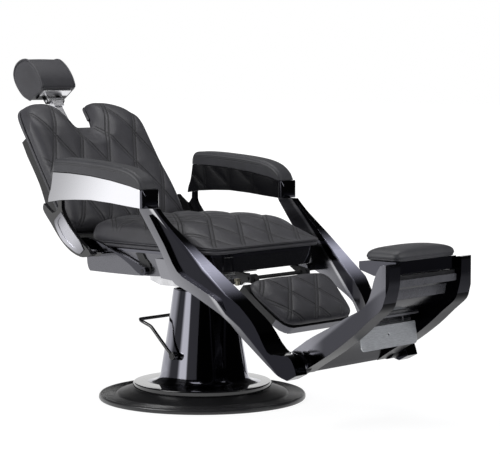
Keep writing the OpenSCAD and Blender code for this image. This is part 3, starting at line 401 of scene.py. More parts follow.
def machined(node, look, slot, width=1.2, segments=2, angle=32, more=None, choose=None):
    """A rigid node's own form with its edges eased: its triangles are merged into whole faces,
    every edge sharper than the angle gets a rounding of the width, and the shading follows the
    large faces. Faces that choose picks, by middle and direction, get a second finish."""
    mesh = frame["nodes"][node].data.copy()
    bm = bmesh.new()
    bm.from_mesh(mesh)
    bmesh.ops.remove_doubles(bm, verts=bm.verts, dist=4e-6)
    bmesh.ops.dissolve_limit(bm, angle_limit=math.radians(0.8), verts=bm.verts, edges=bm.edges)
    bm.to_mesh(mesh)
    bm.free()
    piece = enlist(linked(node + "_made", mesh), BODY_OF[node],
                   [look, more] if more else [look], [node])
    edge = piece.modifiers.new("edges", "BEVEL")
    edge.width, edge.segments, edge.miter_outer = width * 0.001, segments, "MITER_ARC"
    edge.limit_method, edge.angle_limit = "ANGLE", math.radians(angle)
    edge.use_clamp_overlap = True
    piece.modifiers.new("shading", "WEIGHTED_NORMAL").keep_sharp = True
    piece.data.shade_smooth()
    frozen(piece)
    if more:
        count = len(piece.data.polygons)
        middle, facing = np.zeros(count * 3), np.zeros(count * 3)
        piece.data.polygons.foreach_get("center", middle)
        piece.data.polygons.foreach_get("normal", facing)
        which = choose(middle.reshape(-1, 3) * 1000, facing.reshape(-1, 3))
        piece.data.polygons.foreach_set("material_index", np.asarray(which, np.int32))
    return piece


def machined_all(*rows):
    """Several rigid nodes, each row with what machined asks for."""
    for row in rows:
        machined(*row)


def corners(mesh):
    """Coordinates of a mesh's points, in metres, one row each."""
    flat = np.zeros(len(mesh.vertices) * 3)
    mesh.vertices.foreach_get("co", flat)
    return flat.reshape(-1, 3)


def move_corners(mesh, points):
    mesh.vertices.foreach_set("co", points.ravel())
    mesh.update()


def plump(piece, held, pressure, cap, stiffness=25.0, frames=9):
    """Blows a cover up from inside with cloth simulation: the held points stay, the rest swell
    against the stitching. No point may move further than the cap, in millimetres."""
    scene = bpy.context.scene
    rest = corners(piece.data)
    group = piece.vertex_groups.new(name="held")
    group.add(np.flatnonzero(held).tolist(), 1.0, "REPLACE")
    cloth = piece.modifiers.new("cover", "CLOTH")
    cover = cloth.settings
    cover.vertex_group_mass = "held"
    cover.use_pressure, cover.uniform_pressure_force = True, pressure
    cover.quality, cover.mass = 5, 0.25
    cover.tension_stiffness = cover.compression_stiffness = stiffness
    cover.shear_stiffness, cover.bending_stiffness = stiffness * 0.4, 1.5
    cover.effector_weights.gravity = 0.0
    cloth.point_cache.frame_start, cloth.point_cache.frame_end = 1, frames
    for step in range(1, frames + 1):
        scene.frame_set(step)
    moved = corners(piece.evaluated_get(bpy.context.evaluated_depsgraph_get()).data) - rest
    piece.modifiers.clear()
    piece.vertex_groups.clear()
    far = np.linalg.norm(moved, axis=1)[:, None]
    limit = cap * 0.001
    moved *= np.where(far > 0, limit * np.tanh(far / limit) / np.maximum(far, 1e-9), 0)
    move_corners(piece.data, rest + moved)
    scene.frame_set(1)


def divided(piece):
    """One smooth subdivision, applied."""
    finer = piece.modifiers.new("finer", "SUBSURF")
    finer.levels = finer.render_levels = RENDER_LEVELS
    return frozen(piece)


# ---------------------------------------------------------------- finishes
class Value:
    """A number that varies over a surface. Arithmetic on it adds the Math nodes."""

    def __init__(self, finish, socket):
        self.finish, self.socket = finish, socket

    def math(self, operation, *terms):
        node = self.finish.add("ShaderNodeMath", {"operation": operation}, dict(enumerate(terms)))
        return Value(self.finish, node.outputs[0])

    def __add__(self, other):
        return self.math("ADD", self, other)

    def __sub__(self, other):
        return self.math("SUBTRACT", self, other)

    def __mul__(self, other):
        return self.math("MULTIPLY", self, other)

    def __truediv__(self, other):
        return self.math("DIVIDE", self, other)

    def __rsub__(self, other):
        return self.math("SUBTRACT", other, self)

    def __pow__(self, other):
        return self.math("POWER", self, other)

    def __lt__(self, other):
        return self.math("LESS_THAN", self, other)

    __radd__, __rmul__ = __add__, __mul__

    def __abs__(self):
        return self.math("ABSOLUTE", self)

    def fold(self):
        """Distance to the nearest whole number."""
        return self.math("PINGPONG", self, 0.5)

    def least(self, other):
        return self.math("MINIMUM", self, other)

    def most(self, other):
        return self.math("MAXIMUM", self, other)

    def between(self, low, high):
        """0 at low, 1 at high, smooth in between."""
        node = self.finish.add("ShaderNodeMapRange", {"interpolation_type": "SMOOTHSTEP"},
                               {"Value": self, "From Min": low, "From Max": high})
        return Value(self.finish, node.outputs[0])


class Nodes:
    """A node tree and the method that adds any node to it."""

    def __init__(self, tree):
        self.tree = tree
        tree.nodes.clear()

    def add(self, kind, settings=None, sockets=None):
        """Any node: its type, its settings, then the values or links of its sockets."""
        node = self.tree.nodes.new(kind)
        for key, value in (settings or {}).items():
            setattr(node, key, value)
        for key, value in (sockets or {}).items():
            self.feed(node.inputs[key], value)
        return node

    def feed(self, socket, value):
        if isinstance(value, Value):
            value = value.socket
        if isinstance(value, bpy.types.NodeSocket):
            self.tree.links.new(value, socket)
        elif hasattr(value, "__len__") and socket.type == "RGBA":
            socket.default_value = (*value[:3], 1.0)
        else:
            socket.default_value = value

    def seen(self):
        """1 for rays from the camera, off mirrors and through clear bodies, else 0, and then the
        mirrored rays alone."""
        path = self.add("ShaderNodeLightPath")
        camera, glossy, clear = (Value(self, path.outputs["Is " + kind + " Ray"])
                                 for kind in ("Camera", "Glossy", "Transmission"))
        return camera.most(glossy).most(clear), glossy


class Finish(Nodes):
    """One procedural material: a Principled shader and what its recipe reads."""

    def __init__(self, name, **shader):
        self.material = bpy.data.materials.new(name)
        self.material.use_nodes = True
        super().__init__(self.material.node_tree)
        self.shader = self.add("ShaderNodeBsdfPrincipled")
        self.out = self.add("ShaderNodeOutputMaterial")
        self.feed(self.out.inputs[0], self.shader.outputs[0])
        for key, value in shader.items():
            self.set(key.replace("_", " "), value)
        self.place = self.add("ShaderNodeTexCoord").outputs["Object"]

    def set(self, name, value):
        self.feed(self.shader.inputs[name], value)

    def stretched(self, scale=(1, 1, 1), turn=(0, 0, 0)):
        """Object coordinates scaled and turned by a Mapping node."""
        node = self.add("ShaderNodeMapping", None, {"Vector": self.place, "Scale": scale,
                                                    "Rotation": turn})
        return node.outputs[0]

    def noise(self, scale, detail=3.0, rough=0.5, where=None):
        node = self.add("ShaderNodeTexNoise", None, {
            "Vector": where or self.place, "Scale": scale, "Detail": detail, "Roughness": rough})
        return Value(self, node.outputs["Fac"])

    def cells(self, scale, feature="F1", where=None):
        node = self.add("ShaderNodeTexVoronoi", {"feature": feature},
                        {"Vector": where or self.place, "Scale": scale})
        return Value(self, node.outputs["Distance"])

    def field(self, name):
        node = self.add("ShaderNodeAttribute",
                        {"attribute_name": name, "attribute_type": "GEOMETRY"})
        return Value(self, node.outputs["Fac"])

    def towards(self, way):
        """Distance in metres along a direction: the dot product of the place with it."""
        node = self.add("ShaderNodeVectorMath", {"operation": "DOT_PRODUCT"},
                        {0: self.place, 1: way})
        return Value(self, node.outputs["Value"])

    def along(self, angle, origin=(0, 0)):
        """Distance along a direction in the side view, less that of an origin (x, z)."""
        way = (math.cos(math.radians(angle)), 0, math.sin(math.radians(angle)))
        return self.towards(way) - (origin[0] * way[0] + origin[1] * way[2])

    def bearing(self):
        """Degrees round the upright axis through the origin, from +X towards +Y."""
        north = self.towards((0, 1, 0))
        return north.math("ARCTAN2", north, self.towards((1, 0, 0))) * math.degrees(1)

    def edge_wear(self, reach=0.35):
        """Bright where an edge stands proud, from the surface's pointiness."""
        node = self.add("ShaderNodeNewGeometry")
        return Value(self, node.outputs["Pointiness"]).between(0.5 + 0.1 * reach, 0.5 + 0.3 * reach)

    def tint(self, amount, first, second):
        """Colour mix: first at 0, second at 1."""
        node = self.add("ShaderNodeMix", {"data_type": "RGBA"},
                        {0: amount, 6: first, 7: second})
        return node.outputs[2]

    def bump(self, height, strength=0.3, distance=0.001, under=None):
        sockets = {"Height": height, "Strength": strength, "Distance": distance}
        if under is not None:
            sockets["Normal"] = under
        return self.add("ShaderNodeBump", None, sockets).outputs[0]


def shade(colour, factor):
    return tuple(min(1.0, c * factor) for c in colour[:3])


FINISHES = {}


def finish(name):
    """The finish of that name, made the first time it is asked for."""
    if name not in FINISHES:
        recipe, *terms = RECIPES[name]
        FINISHES[name] = recipe(name, *terms).material
    return FINISHES[name]


def leather_finish(name, tone=None, sewn=True, coarse=1.0):
    """Upholstery leather: pebbled grain, soft creases, sheen, and the quilting's stitch rows
    where the cover carries the quilt fields, their sunk grooves darkened with painted shade."""
    c, s = colours(), sizes()
    tone = tone or tuple(c.leather)
    skin = Finish(name, Specular_IOR_Level=0.5)
    pebble = skin.cells(950 * coarse, "SMOOTH_F1")
    pores = skin.noise(2600 * coarse, 2.0)
    creases = skin.noise(38, 5.0, 0.62)
    patches = skin.noise(7, 3.0, 0.5)
    grain = pebble * 0.7 + pores * 0.3
    tone_at = (patches * 0.6 + creases * 0.4).between(0.30, 0.72)
    colour = skin.tint(tone_at, shade(tone, 0.80), shade(tone, 1.28))
    colour = skin.tint(grain.between(0.15, 0.55) * 0.45, colour, shade(tone, 0.55))
    height = creases * 0.35
    if sewn:
        shown = skin.field("quilt_on")
        dashes, groove_shades = [], []
        for key, other in (("quilt_a", "quilt_b"), ("quilt_b", "quilt_a")):
            across = skin.field(key).fold() * skin.field("quilt_step")
            along = skin.field(other) * skin.field("quilt_run")
            beside = abs(across - mm(s.seam_half))
            dash = (along / mm(s.stitch)).fold().between(0.20, 0.13)
            dashes.append((1 - beside.between(0.25, 0.75)) * dash)
            groove_shades.append(1 - beside.between(0.8, 2.8))
        thread = dashes[0].most(dashes[1]) * shown
        groove_shade = groove_shades[0].most(groove_shades[1]) * shown
        # painted shade: the colour is darkened along the sunk grooves beside the stitch rows
        colour = skin.tint(groove_shade * 0.92, colour, shade(tone, 0.16))
        colour = skin.tint(thread * 0.45, colour, tuple(c.thread))
        height = height - groove_shade * 1.2 + thread * 0.5
        skin.set("Roughness", grain * 0.16 + groove_shade * 0.12 + 0.40)
    else:
        skin.set("Roughness", grain * 0.18 + creases * 0.06 + 0.36)
    skin.set("Base Color", colour)
    fine = skin.bump(grain, 0.42, 0.00045)
    skin.set("Normal", skin.bump(height, 0.75, 0.0011, fine))
    skin.set("Sheen Weight", 0.06)
    skin.set("Sheen Roughness", 0.4)
    return skin


def pad_finish(name):
    """Moulded pad skin: fine even grain, a little glossier than the leather."""
    return leather_finish(name, tuple(colours().pad), sewn=False, coarse=1.25)


def arm_pad_finish(name):
    """Arm pad skin: the moulded pad's grain with the two sewn rows of its welt along the side,
    13.5 and 18.5 mm under the top, sunk and darkened with painted shade."""
    skin = pad_finish(name)
    down = skin.field("welt")
    first, second = (1 - abs(down - row).between(0.4, 1.6) for row in (13.5, 18.5))
    groove = first.most(second)
    under = skin.shader.inputs["Normal"].links[0].from_socket
    skin.set("Normal", skin.bump(0 - groove, 0.6, 0.001, under))
    tone = skin.shader.inputs["Base Color"].links[0].from_socket
    # painted shade: the colour is darkened in the two sunk welt rows
    skin.set("Base Color", skin.tint(groove * 0.5, tone, (0.012, 0.012, 0.013)))
    return skin


def piping_finish(name):
    """Piping: leather drawn round a cord, with faint folds."""
    return leather_finish(name, shade(tuple(colours().leather), 1.15), sewn=False, coarse=1.1)


def arm_panel_finish(name):
    """Polished arm panel with a painted reflection: a little darker towards its rear end and
    along its top.
    """
    metal = polished_finish(name)
    painted_shine = metal.along(-25, (-0.300, 0.660)).between(-0.03, 0.26)
    tone = tuple(colours().chrome)
    # painted reflection: the colour runs from dark at the rear and top to bright at the front
    metal.set("Base Color", metal.tint(painted_shine, shade(tone, 0.55), shade(tone, 1.28)))
    return metal


def polished_finish(name, tone="chrome", rough=0.07, brushed=0.0):
    """Polished metal: mirror face with faint polishing lines, fingerprint haze and light wear.
    The tone is a colour or the name of one in the panel."""
    tone = tuple(getattr(colours(), tone)) if isinstance(tone, str) else tone
    metal = Finish(name, Metallic=1.0)
    lines = metal.noise(260, 2.0, 0.5, metal.stretched((0.25, 1, 6)))
    haze = metal.noise(9, 4.0, 0.6)
    wear = metal.edge_wear()
    colour = metal.tint(haze.between(0.35, 0.7), shade(tone, 0.95), shade(tone, 1.03))
    metal.set("Base Color", metal.tint(wear * 0.25, colour, shade(tone, 1.2)))
    metal.set("Roughness", haze.between(0.4, 0.75) * 0.05 + lines * (0.02 + brushed * 0.2) + rough)
    metal.set("Normal", metal.bump(lines, 0.03 + brushed * 0.25, 0.0002))
    return metal


def brushed_finish(name):
    """Brushed plate: long lines across its width, with patches of rougher metal."""
    tone = (0.72, 0.74, 0.77)
    metal = Finish(name, Metallic=0.55)
    lines = metal.noise(90, 4.0, 0.6, metal.stretched((14, 0.6, 14)))
    patch = metal.noise(12, 3.0)
    metal.set("Base Color",
              metal.tint(lines.between(0.3, 0.7), shade(tone, 0.72), shade(tone, 1.05)))
    metal.set("Roughness", lines * 0.22 + patch * 0.1 + 0.2)
    metal.set("Normal", metal.bump(lines, 0.22, 0.0003))
    return metal


def gloss_finish(name):
    """Gloss black enamel: deep colour under a clear coat with a trace of orange peel and dust."""
    tone = tuple(colours().gloss)
    paint = Finish(name, Coat_Weight=0.6, Coat_Roughness=0.03, Specular_IOR_Level=0.5)
    peel = paint.noise(150, 2.0)
    dust = paint.noise(420, 3.0).between(0.66, 0.86)
    swirl = paint.noise(14, 4.0, 0.6)
    paint.set("Base Color", paint.tint(dust * 0.35, tone, (0.05, 0.05, 0.05)))
    paint.set("Roughness", swirl.between(0.35, 0.75) * 0.05 + dust * 0.08 + 0.06)
    paint.set("Normal", paint.bump(peel, 0.035, 0.0006))
    return paint


def satin_finish(name):
    """Powder coat: fine orange peel, even satin gloss, rubbed a little lighter on its edges."""
    tone = tuple(colours().satin)
    paint = Finish(name)
    peel = paint.noise(900, 2.0)
    stain = paint.noise(18, 4.0)
    wear = paint.edge_wear()
    colour = paint.tint(stain.between(0.3, 0.75), shade(tone, 0.8), shade(tone, 1.25))
    paint.set("Base Color", paint.tint(wear * 0.4, colour, shade(tone, 3.0)))
    paint.set("Roughness", peel * 0.1 + stain * 0.08 + 0.28)
    paint.set("Normal", paint.bump(peel, 0.16, 0.0004))
    return paint


def rubber_finish(name):
    """Floor rubber: matt, finely pitted, with dust in its grooves."""
    tone = tuple(colours().rubber)
    rubber = Finish(name, Specular_IOR_Level=0.6)
    pits = rubber.cells(700)
    dust = rubber.noise(30, 5.0, 0.65)
    rubber.set("Base Color",
               rubber.tint(dust.between(0.45, 0.8) * 0.4, shade(tone, 1.5), shade(tone, 3.4)))
    rubber.set("Roughness", dust * 0.12 + 0.26)
    rubber.set("Normal", rubber.bump(pits + dust * 0.5, 0.25, 0.0004))
    return rubber


def steel_finish(name, tone=(0.60, 0.60, 0.62), rough=0.24):
    """Plated steel: fine turning marks, light stains, edges rubbed bright."""
    metal = Finish(name, Metallic=1.0)
    marks = metal.noise(500, 2.0, 0.5, metal.stretched((1, 1, 5)))
    stain = metal.noise(40, 4.0)
    wear = metal.edge_wear()
    colour = metal.tint(stain.between(0.35, 0.75), shade(tone, 0.75), tone)
    metal.set("Base Color", metal.tint(wear * 0.4, colour, shade(tone, 1.35)))
    metal.set("Roughness", stain * 0.16 + marks * 0.06 + rough - 0.08)
    metal.set("Normal", metal.bump(marks, 0.1, 0.0002))
    return metal


def frame_finish(name):
    """Side frames, with painted light: a satin plate behind with a painted sheen and a painted
    highlight line on its edge, a black tube along the middle, and a bright tinted painted highlight
    in front that fades out towards the footrest pivot, where a painted reflection lightens it."""
    metal = polished_finish(name, (0.05, 0.05, 0.06), 0.09)
    across, down = metal.along(45), metal.along(-45)
    plate = 1 - across.between(0.500, 0.504)
    # painted highlight: a bright line along the plate's edge
    line = across.between(0.488, 0.497) * plate
    split = 0.520 + (down + 0.10).most(0) * 0.17
    # painted highlight: the bright tinted face in front, made less metallic below so the lamps
    # light it
    painted_facet = (across - split).between(0.0, 0.012) * (1 - (down + across * 0.25).between(0.20, 0.285))
    # painted reflection: lighter towards the footrest pivot
    tail = (across - split).between(0.0, 0.03) * down.between(0.10, 0.30)
    colour = metal.tint(tail, (0.018, 0.018, 0.023), (0.11, 0.11, 0.125))
    colour = metal.tint(painted_facet, colour, (0.62, 0.62, 0.76))
    # painted sheen: the plate is lightened, less near its edge and lower down
    sheen = plate * (1 - across.between(0.40, 0.49) * 0.45) * (1 - down.between(0.02, 0.30) * 0.6)
    colour = metal.tint(sheen, colour, (0.26, 0.26, 0.28))
    line = line * (1 - down.between(-0.1, 0.15))
    metal.set("Base Color", metal.tint(line, colour, (0.55, 0.55, 0.57)))
    metal.set("Roughness", painted_facet * 0.20 + plate * 0.10 + 0.08)
    metal.set("Metallic", 1 - painted_facet * 0.75)
    return metal


def leg_finish(name):
    """Footrest arms: black chrome with painted highlights, bright by the pivot and along the upper
    edge, and a little lighter towards the far end as a painted reflection.
    """
    metal = polished_finish(name, (0.05, 0.05, 0.06), 0.10)
    out = metal.along(0)
    rise = metal.along(126, (0.760, 0.345))
    foot = 1 - out.between(0.575, 0.660)
    rim = rise.between(-0.008, 0.004)
    # painted highlights: bright by the pivot and along the upper edge
    colour = metal.tint(foot * 0.85, (0.055, 0.055, 0.064), (0.36, 0.36, 0.40))
    colour = metal.tint(rim * 0.65, colour, (0.24, 0.24, 0.265))
    # painted reflection: a little lighter towards the far end
    metal.set("Base Color", metal.tint(out.between(0.80, 0.87) * 0.5, colour, (0.15, 0.15, 0.17)))
    return metal


def plate_finish(name):
    """Headrest plate: the post's metal, bright towards the face, with painted shade dark under
    the clamp's ledge.
    """
    metal = polished_finish(name, *POST_METAL)
    front = metal.along(37, (-0.663, 0.909)).between(0.004, 0.010)
    # painted shade: dark behind the line under the clamp's ledge
    metal.set("Base Color", metal.tint(front, (0.02, 0.02, 0.022), (0.80, 0.80, 0.82)))
    return metal


def column_gloss_finish(name):
    """Column enamel: deep gloss black with tall soft streaks of painted reflection at set bearings
    round the axis.
    """
    metal = polished_finish(name, (0.05, 0.05, 0.06), 0.07)
    turn = metal.bearing()
    # painted reflections: a tall streak and brighter bands towards both sides, set by bearing
    painted_streak = turn.between(-92, -84) * (1 - turn.between(-74, -70))
    edges = (1 - turn.between(-118, -104)) * 0.6 + turn.between(12, 34) * 0.8
    colour = metal.tint((painted_streak + edges).least(1), (0.025, 0.025, 0.03), (0.42, 0.42, 0.48))
    metal.set("Base Color", colour)
    return metal


def satin_cast_finish(name):
    """Satin grey casting: the footrest's cross frame."""
    metal = polished_finish(name, (0.17, 0.17, 0.185), 0.26)
    metal.set("Metallic", metal.noise(40, 3.0) * 0.2 + 0.4)
    return metal


def hook_finish(name):
    """Satin chrome on the hooked plates behind the arms, with a painted highlight brightest along
    the middle.
    """
    metal = polished_finish(name, (0.36, 0.36, 0.39), 0.24)
    down = metal.along(-52, (-0.330, 0.560))
    painted_shine = down.between(-0.02, 0.06) * (1 - down.between(0.09, 0.17) * 0.7)
    # painted highlight: a bright band along the middle, dark on either side
    metal.set("Base Color", metal.tint(painted_shine, (0.10, 0.10, 0.11), (0.52, 0.52, 0.56)))
    return metal


def iron_finish(name):
    """Painted cast iron inside the pump."""
    paint = Finish(name, Specular_IOR_Level=0.4)
    skin_marks = paint.noise(160, 4.0, 0.6)
    grime = paint.noise(20, 4.0).between(0.4, 0.8)
    paint.set("Base Color", paint.tint(grime, (0.075, 0.078, 0.082), (0.03, 0.028, 0.026)))
    paint.set("Roughness", skin_marks * 0.2 + 0.42)
    paint.set("Normal", paint.bump(skin_marks, 0.35, 0.0008))
    return paint


def seal_finish(name):
    """Oil-wet rubber seal."""
    rubber = rubber_finish(name)
    rubber.set("Coat Weight", 0.3)
    return rubber


# each finish: its recipe, then what that recipe takes besides the name
POST_METAL = ((0.80, 0.80, 0.83), 0.30, 0.3)
RECIPES = {
    "leather": (leather_finish,),
    "leather_plain": (leather_finish, None, False),
    "pad_leather": (pad_finish,),
    "arm_pad_skin": (arm_pad_finish,),
    "piping": (piping_finish,),
    # polished metals: tone, roughness, brushing
    "arm_panel": (arm_panel_finish,),
    "side_panel_metal": (polished_finish, (0.16, 0.16, 0.175), 0.20, 0.4),
    "black_chrome": (polished_finish, (0.085, 0.085, 0.10), 0.07),
    "lever_metal": (polished_finish, (0.060, 0.060, 0.070), 0.09),
    # painted shade on the footrest arms' lower faces and faces turned to the middle
    "leg_inner": (polished_finish, (0.006, 0.006, 0.008), 0.3),
    "cast_frame": (polished_finish, (0.13, 0.13, 0.145), 0.24, 0.2),
    # painted shade for the side frames' channel floor and the footrest cross frame's underside
    "dark_channel": (polished_finish, (0.022, 0.022, 0.027), 0.16),
    "tinted_metal": (polished_finish, "dark_metal", 0.11),
    "post_metal": (polished_finish, *POST_METAL),
    "frame_metal": (frame_finish,),
    "leg_metal": (leg_finish,),
    "plate_metal": (plate_finish,),
    "hook_metal": (hook_finish,),
    "satin_cast": (satin_cast_finish,),
    "brushed_plate": (brushed_finish,),
    "column_gloss": (column_gloss_finish,),
    "gloss_black": (gloss_finish,),
    "satin_black": (satin_finish,),
    "floor_rubber": (rubber_finish,),
    "seal": (seal_finish,),
    "pump_iron": (iron_finish,),
    # plated steels: tone and roughness; yellow zinc, hard chrome, bright zinc
    "plated_steel": (steel_finish,),
    "bolt_steel": (steel_finish, (0.62, 0.58, 0.46), 0.28),
    "ram_chrome": (steel_finish, (0.74, 0.74, 0.76), 0.12),
    "bright_bracket": (steel_finish, (0.70, 0.70, 0.72), 0.22),
}


# ---------------------------------------------------------------- quilting
def quilt(a, b, spacing, seam):
    """Cover height from the sewn pattern, from 0 on the seams to 1 in the middle of a tuft. Each
    family of seams stands at whole numbers of a or b; a flat band of twice the seam half width
    lies on each, and the tuft rises from it as a root of the sine."""
    da = np.abs(a - np.round(a)) * spacing
    db = np.abs(b - np.round(b)) * spacing
    d = np.minimum(da, db)
    t = np.clip((d - seam) / (spacing / 2 - seam), 0, 1)
    band = 0.05 * np.cos(np.clip(d / seam, 0, 1) * np.pi / 2)
    return np.sin(t * np.pi / 2) ** 0.45 + band, d


def made_cushion(name, top, loops, floor, body, sewing, node, held, cap, pressure=3.0):
    """A sewn cushion: closed form, cloth simulation against its held seams, one subdivision.
    The sewing is both line counts, their spacing, their length per count, and where it shows;
    the cover carries it as fields, with no sewing on walls and floor."""
    points, faces = closed_form(top, loops, floor)
    a, b, spacing, run, shown = sewing
    rest = len(points) - a.size
    fields = {"quilt_step": np.full(len(points), spacing), "quilt_run": np.full(len(points), run)}
    for key, array, beyond in (("quilt_a", a, 0), ("quilt_b", b, 0), ("quilt_on", shown, 0),
                               ("held_field", held, 1)):
        fields[key] = np.concatenate([np.ravel(array), np.full(rest, float(beyond))])
    piece = put(name, points, faces, body, "leather", "leather", [node], values=fields, crease=180)
    grip = np.zeros(len(piece.data.vertices), np.float32)
    piece.data.attributes["held_field"].data.foreach_get("value", grip)
    plump(piece, grip > 0.5, pressure, cap)
    piece.data.attributes.remove(piece.data.attributes["held_field"])
    divided(piece)


class CHAIR_OT_seat_cushion(bpy.types.Operator):
    """Quilted seat cushion: crowned pad on a rounded oblong plan, its front rolled down"""
    bl_idname = "chair.seat_cushion"
    bl_label = "Seat cushion"

    def execute(self, context):
        s = sizes()
        rows, cols, power = 104, 98, 12.0
        length, width = mm(s.seat_front - s.seat_rear) / 2, mm(s.seat_half)
        centre = mm(s.seat_front) - length
        qx, qy, rim = pad_grid(rows, cols, power)
        x, y = centre + length * qx, width * qy
        p, q = mm(s.tuft_length), mm(s.tuft_width)
        a, b = (x - 290) / p + y / q, (x - 290) / p - y / q
        spacing = 1 / math.hypot(1 / p, 1 / q)
        run = 0.5 * math.hypot(p, q)
        cover, seam = quilt(a, b, spacing, mm(s.seam_half))
        # rise of the pad from its side, nose rolled down at the front, crown in the middle
        side, face, drop = 512, 558, 18
        nose = ease((x - 90) / 215) * 66
        sink = drop * ease((x - 120) / 170)
        crown = 15 * (1 - qx * qx) * (1 - qy * qy)
        inside = ease((1 - rim) / 0.12)
        z = (side - sink + np.maximum(face - nose - side + sink, 3) * shoulder(rim, 0.80, 0.20)
             + crown + mm(s.tuft_depth) * (cover - 1) * inside)
        top = np.stack([x, y, z], -1)
        edge = border(rows, cols)
        ex, ey = qx.ravel()[edge], qy.ravel()[edge]
        # wall: down to the welt line, a pinched seam there, then in to the frame
        levels = [(-0.8, 506), (0.2, 499), (2.4, 493.5), (5.2, 491.2), (8.5, 490), (13, 488.6),
                  (16, 486), (16, 480), (16, 474.5)]
        low = sink.ravel()[edge] / drop
        loops = [np.stack([centre + (length - i) * ex, (width - i) * ey,
                           h - low * max(0, h - 491) * 0.82], -1) for i, h in levels[:-1]]
        i, h = levels[-1]
        floor = np.stack([centre + (length - i) * qx, (width - i) * qy, np.full_like(x, h)], -1)
        shown = ease((1 - rim) / 0.05)
        held = (seam < 6.0) | (rim > 0.985)
        made_cushion("seat_cushion_leather", top, loops, floor, "chair",
                     (a, b, spacing, run, shown), "seat_cushion", held, 3.2)
        return DONE


def seat_loop(inset, height, count=480, power=13.0):
    """Even loop round the seat's plan, set in from its edge."""
    s = sizes()
    length = mm(s.seat_front - s.seat_rear) / 2
    angle = np.linspace(0, 2 * np.pi, 3000, endpoint=False)
    x, y = superellipse(length - inset, mm(s.seat_half) - inset, power, angle)
    line = np.stack([x + mm(s.seat_front) - length, y, np.full_like(x, height)], -1)
    return even_path(line, count, closed=True)


class CHAIR_OT_seat_piping(bpy.types.Operator):
    """Seat piping: a cord in leather round the foot of the seat cushion, with a flat welt above"""
    bl_idname = "chair.seat_piping"
    bl_label = "Seat piping"

    def execute(self, context):
        ring = tube(seat_loop(6.4, 480.9), 6.2, 20, closed=True)
        welt = tube(seat_loop(3.6, 490.4), 2.1, 10, closed=True)
        points, faces, ends = join_parts([ring, welt])
        put("seat_piping_leather", points, faces, "chair", "piping", "piping", ["seat_piping"],
            ends, crease=60)
        return DONE


def back_top(y):
    """Top edge of the back at each width: a notch in the middle, two shoulders that round off."""
    k = mm(sizes().back_height)
    a = np.abs(y)
    notch = k - 101 + 108 * ease((a - 30) / 70)
    knots = [100, 112, 130, 152, 170, 190, 206, 220, 232, 242, 250, 256]
    fall = np.array([-7, -11, -12, -11, -7, 1, 11, 24, 41, 62, 88, 116])
    fine = smooth_path(np.stack([knots, k - fall], -1), 10)
    return np.where(a < 100, notch, np.interp(a, fine[:, 0], fine[:, 1]))


def back_bend(z):
    """The top of the back leans away behind the head: a power of the height above the shell."""
    return -40 * np.clip((z - 455) / 118, 0, 1.2) ** 1.6


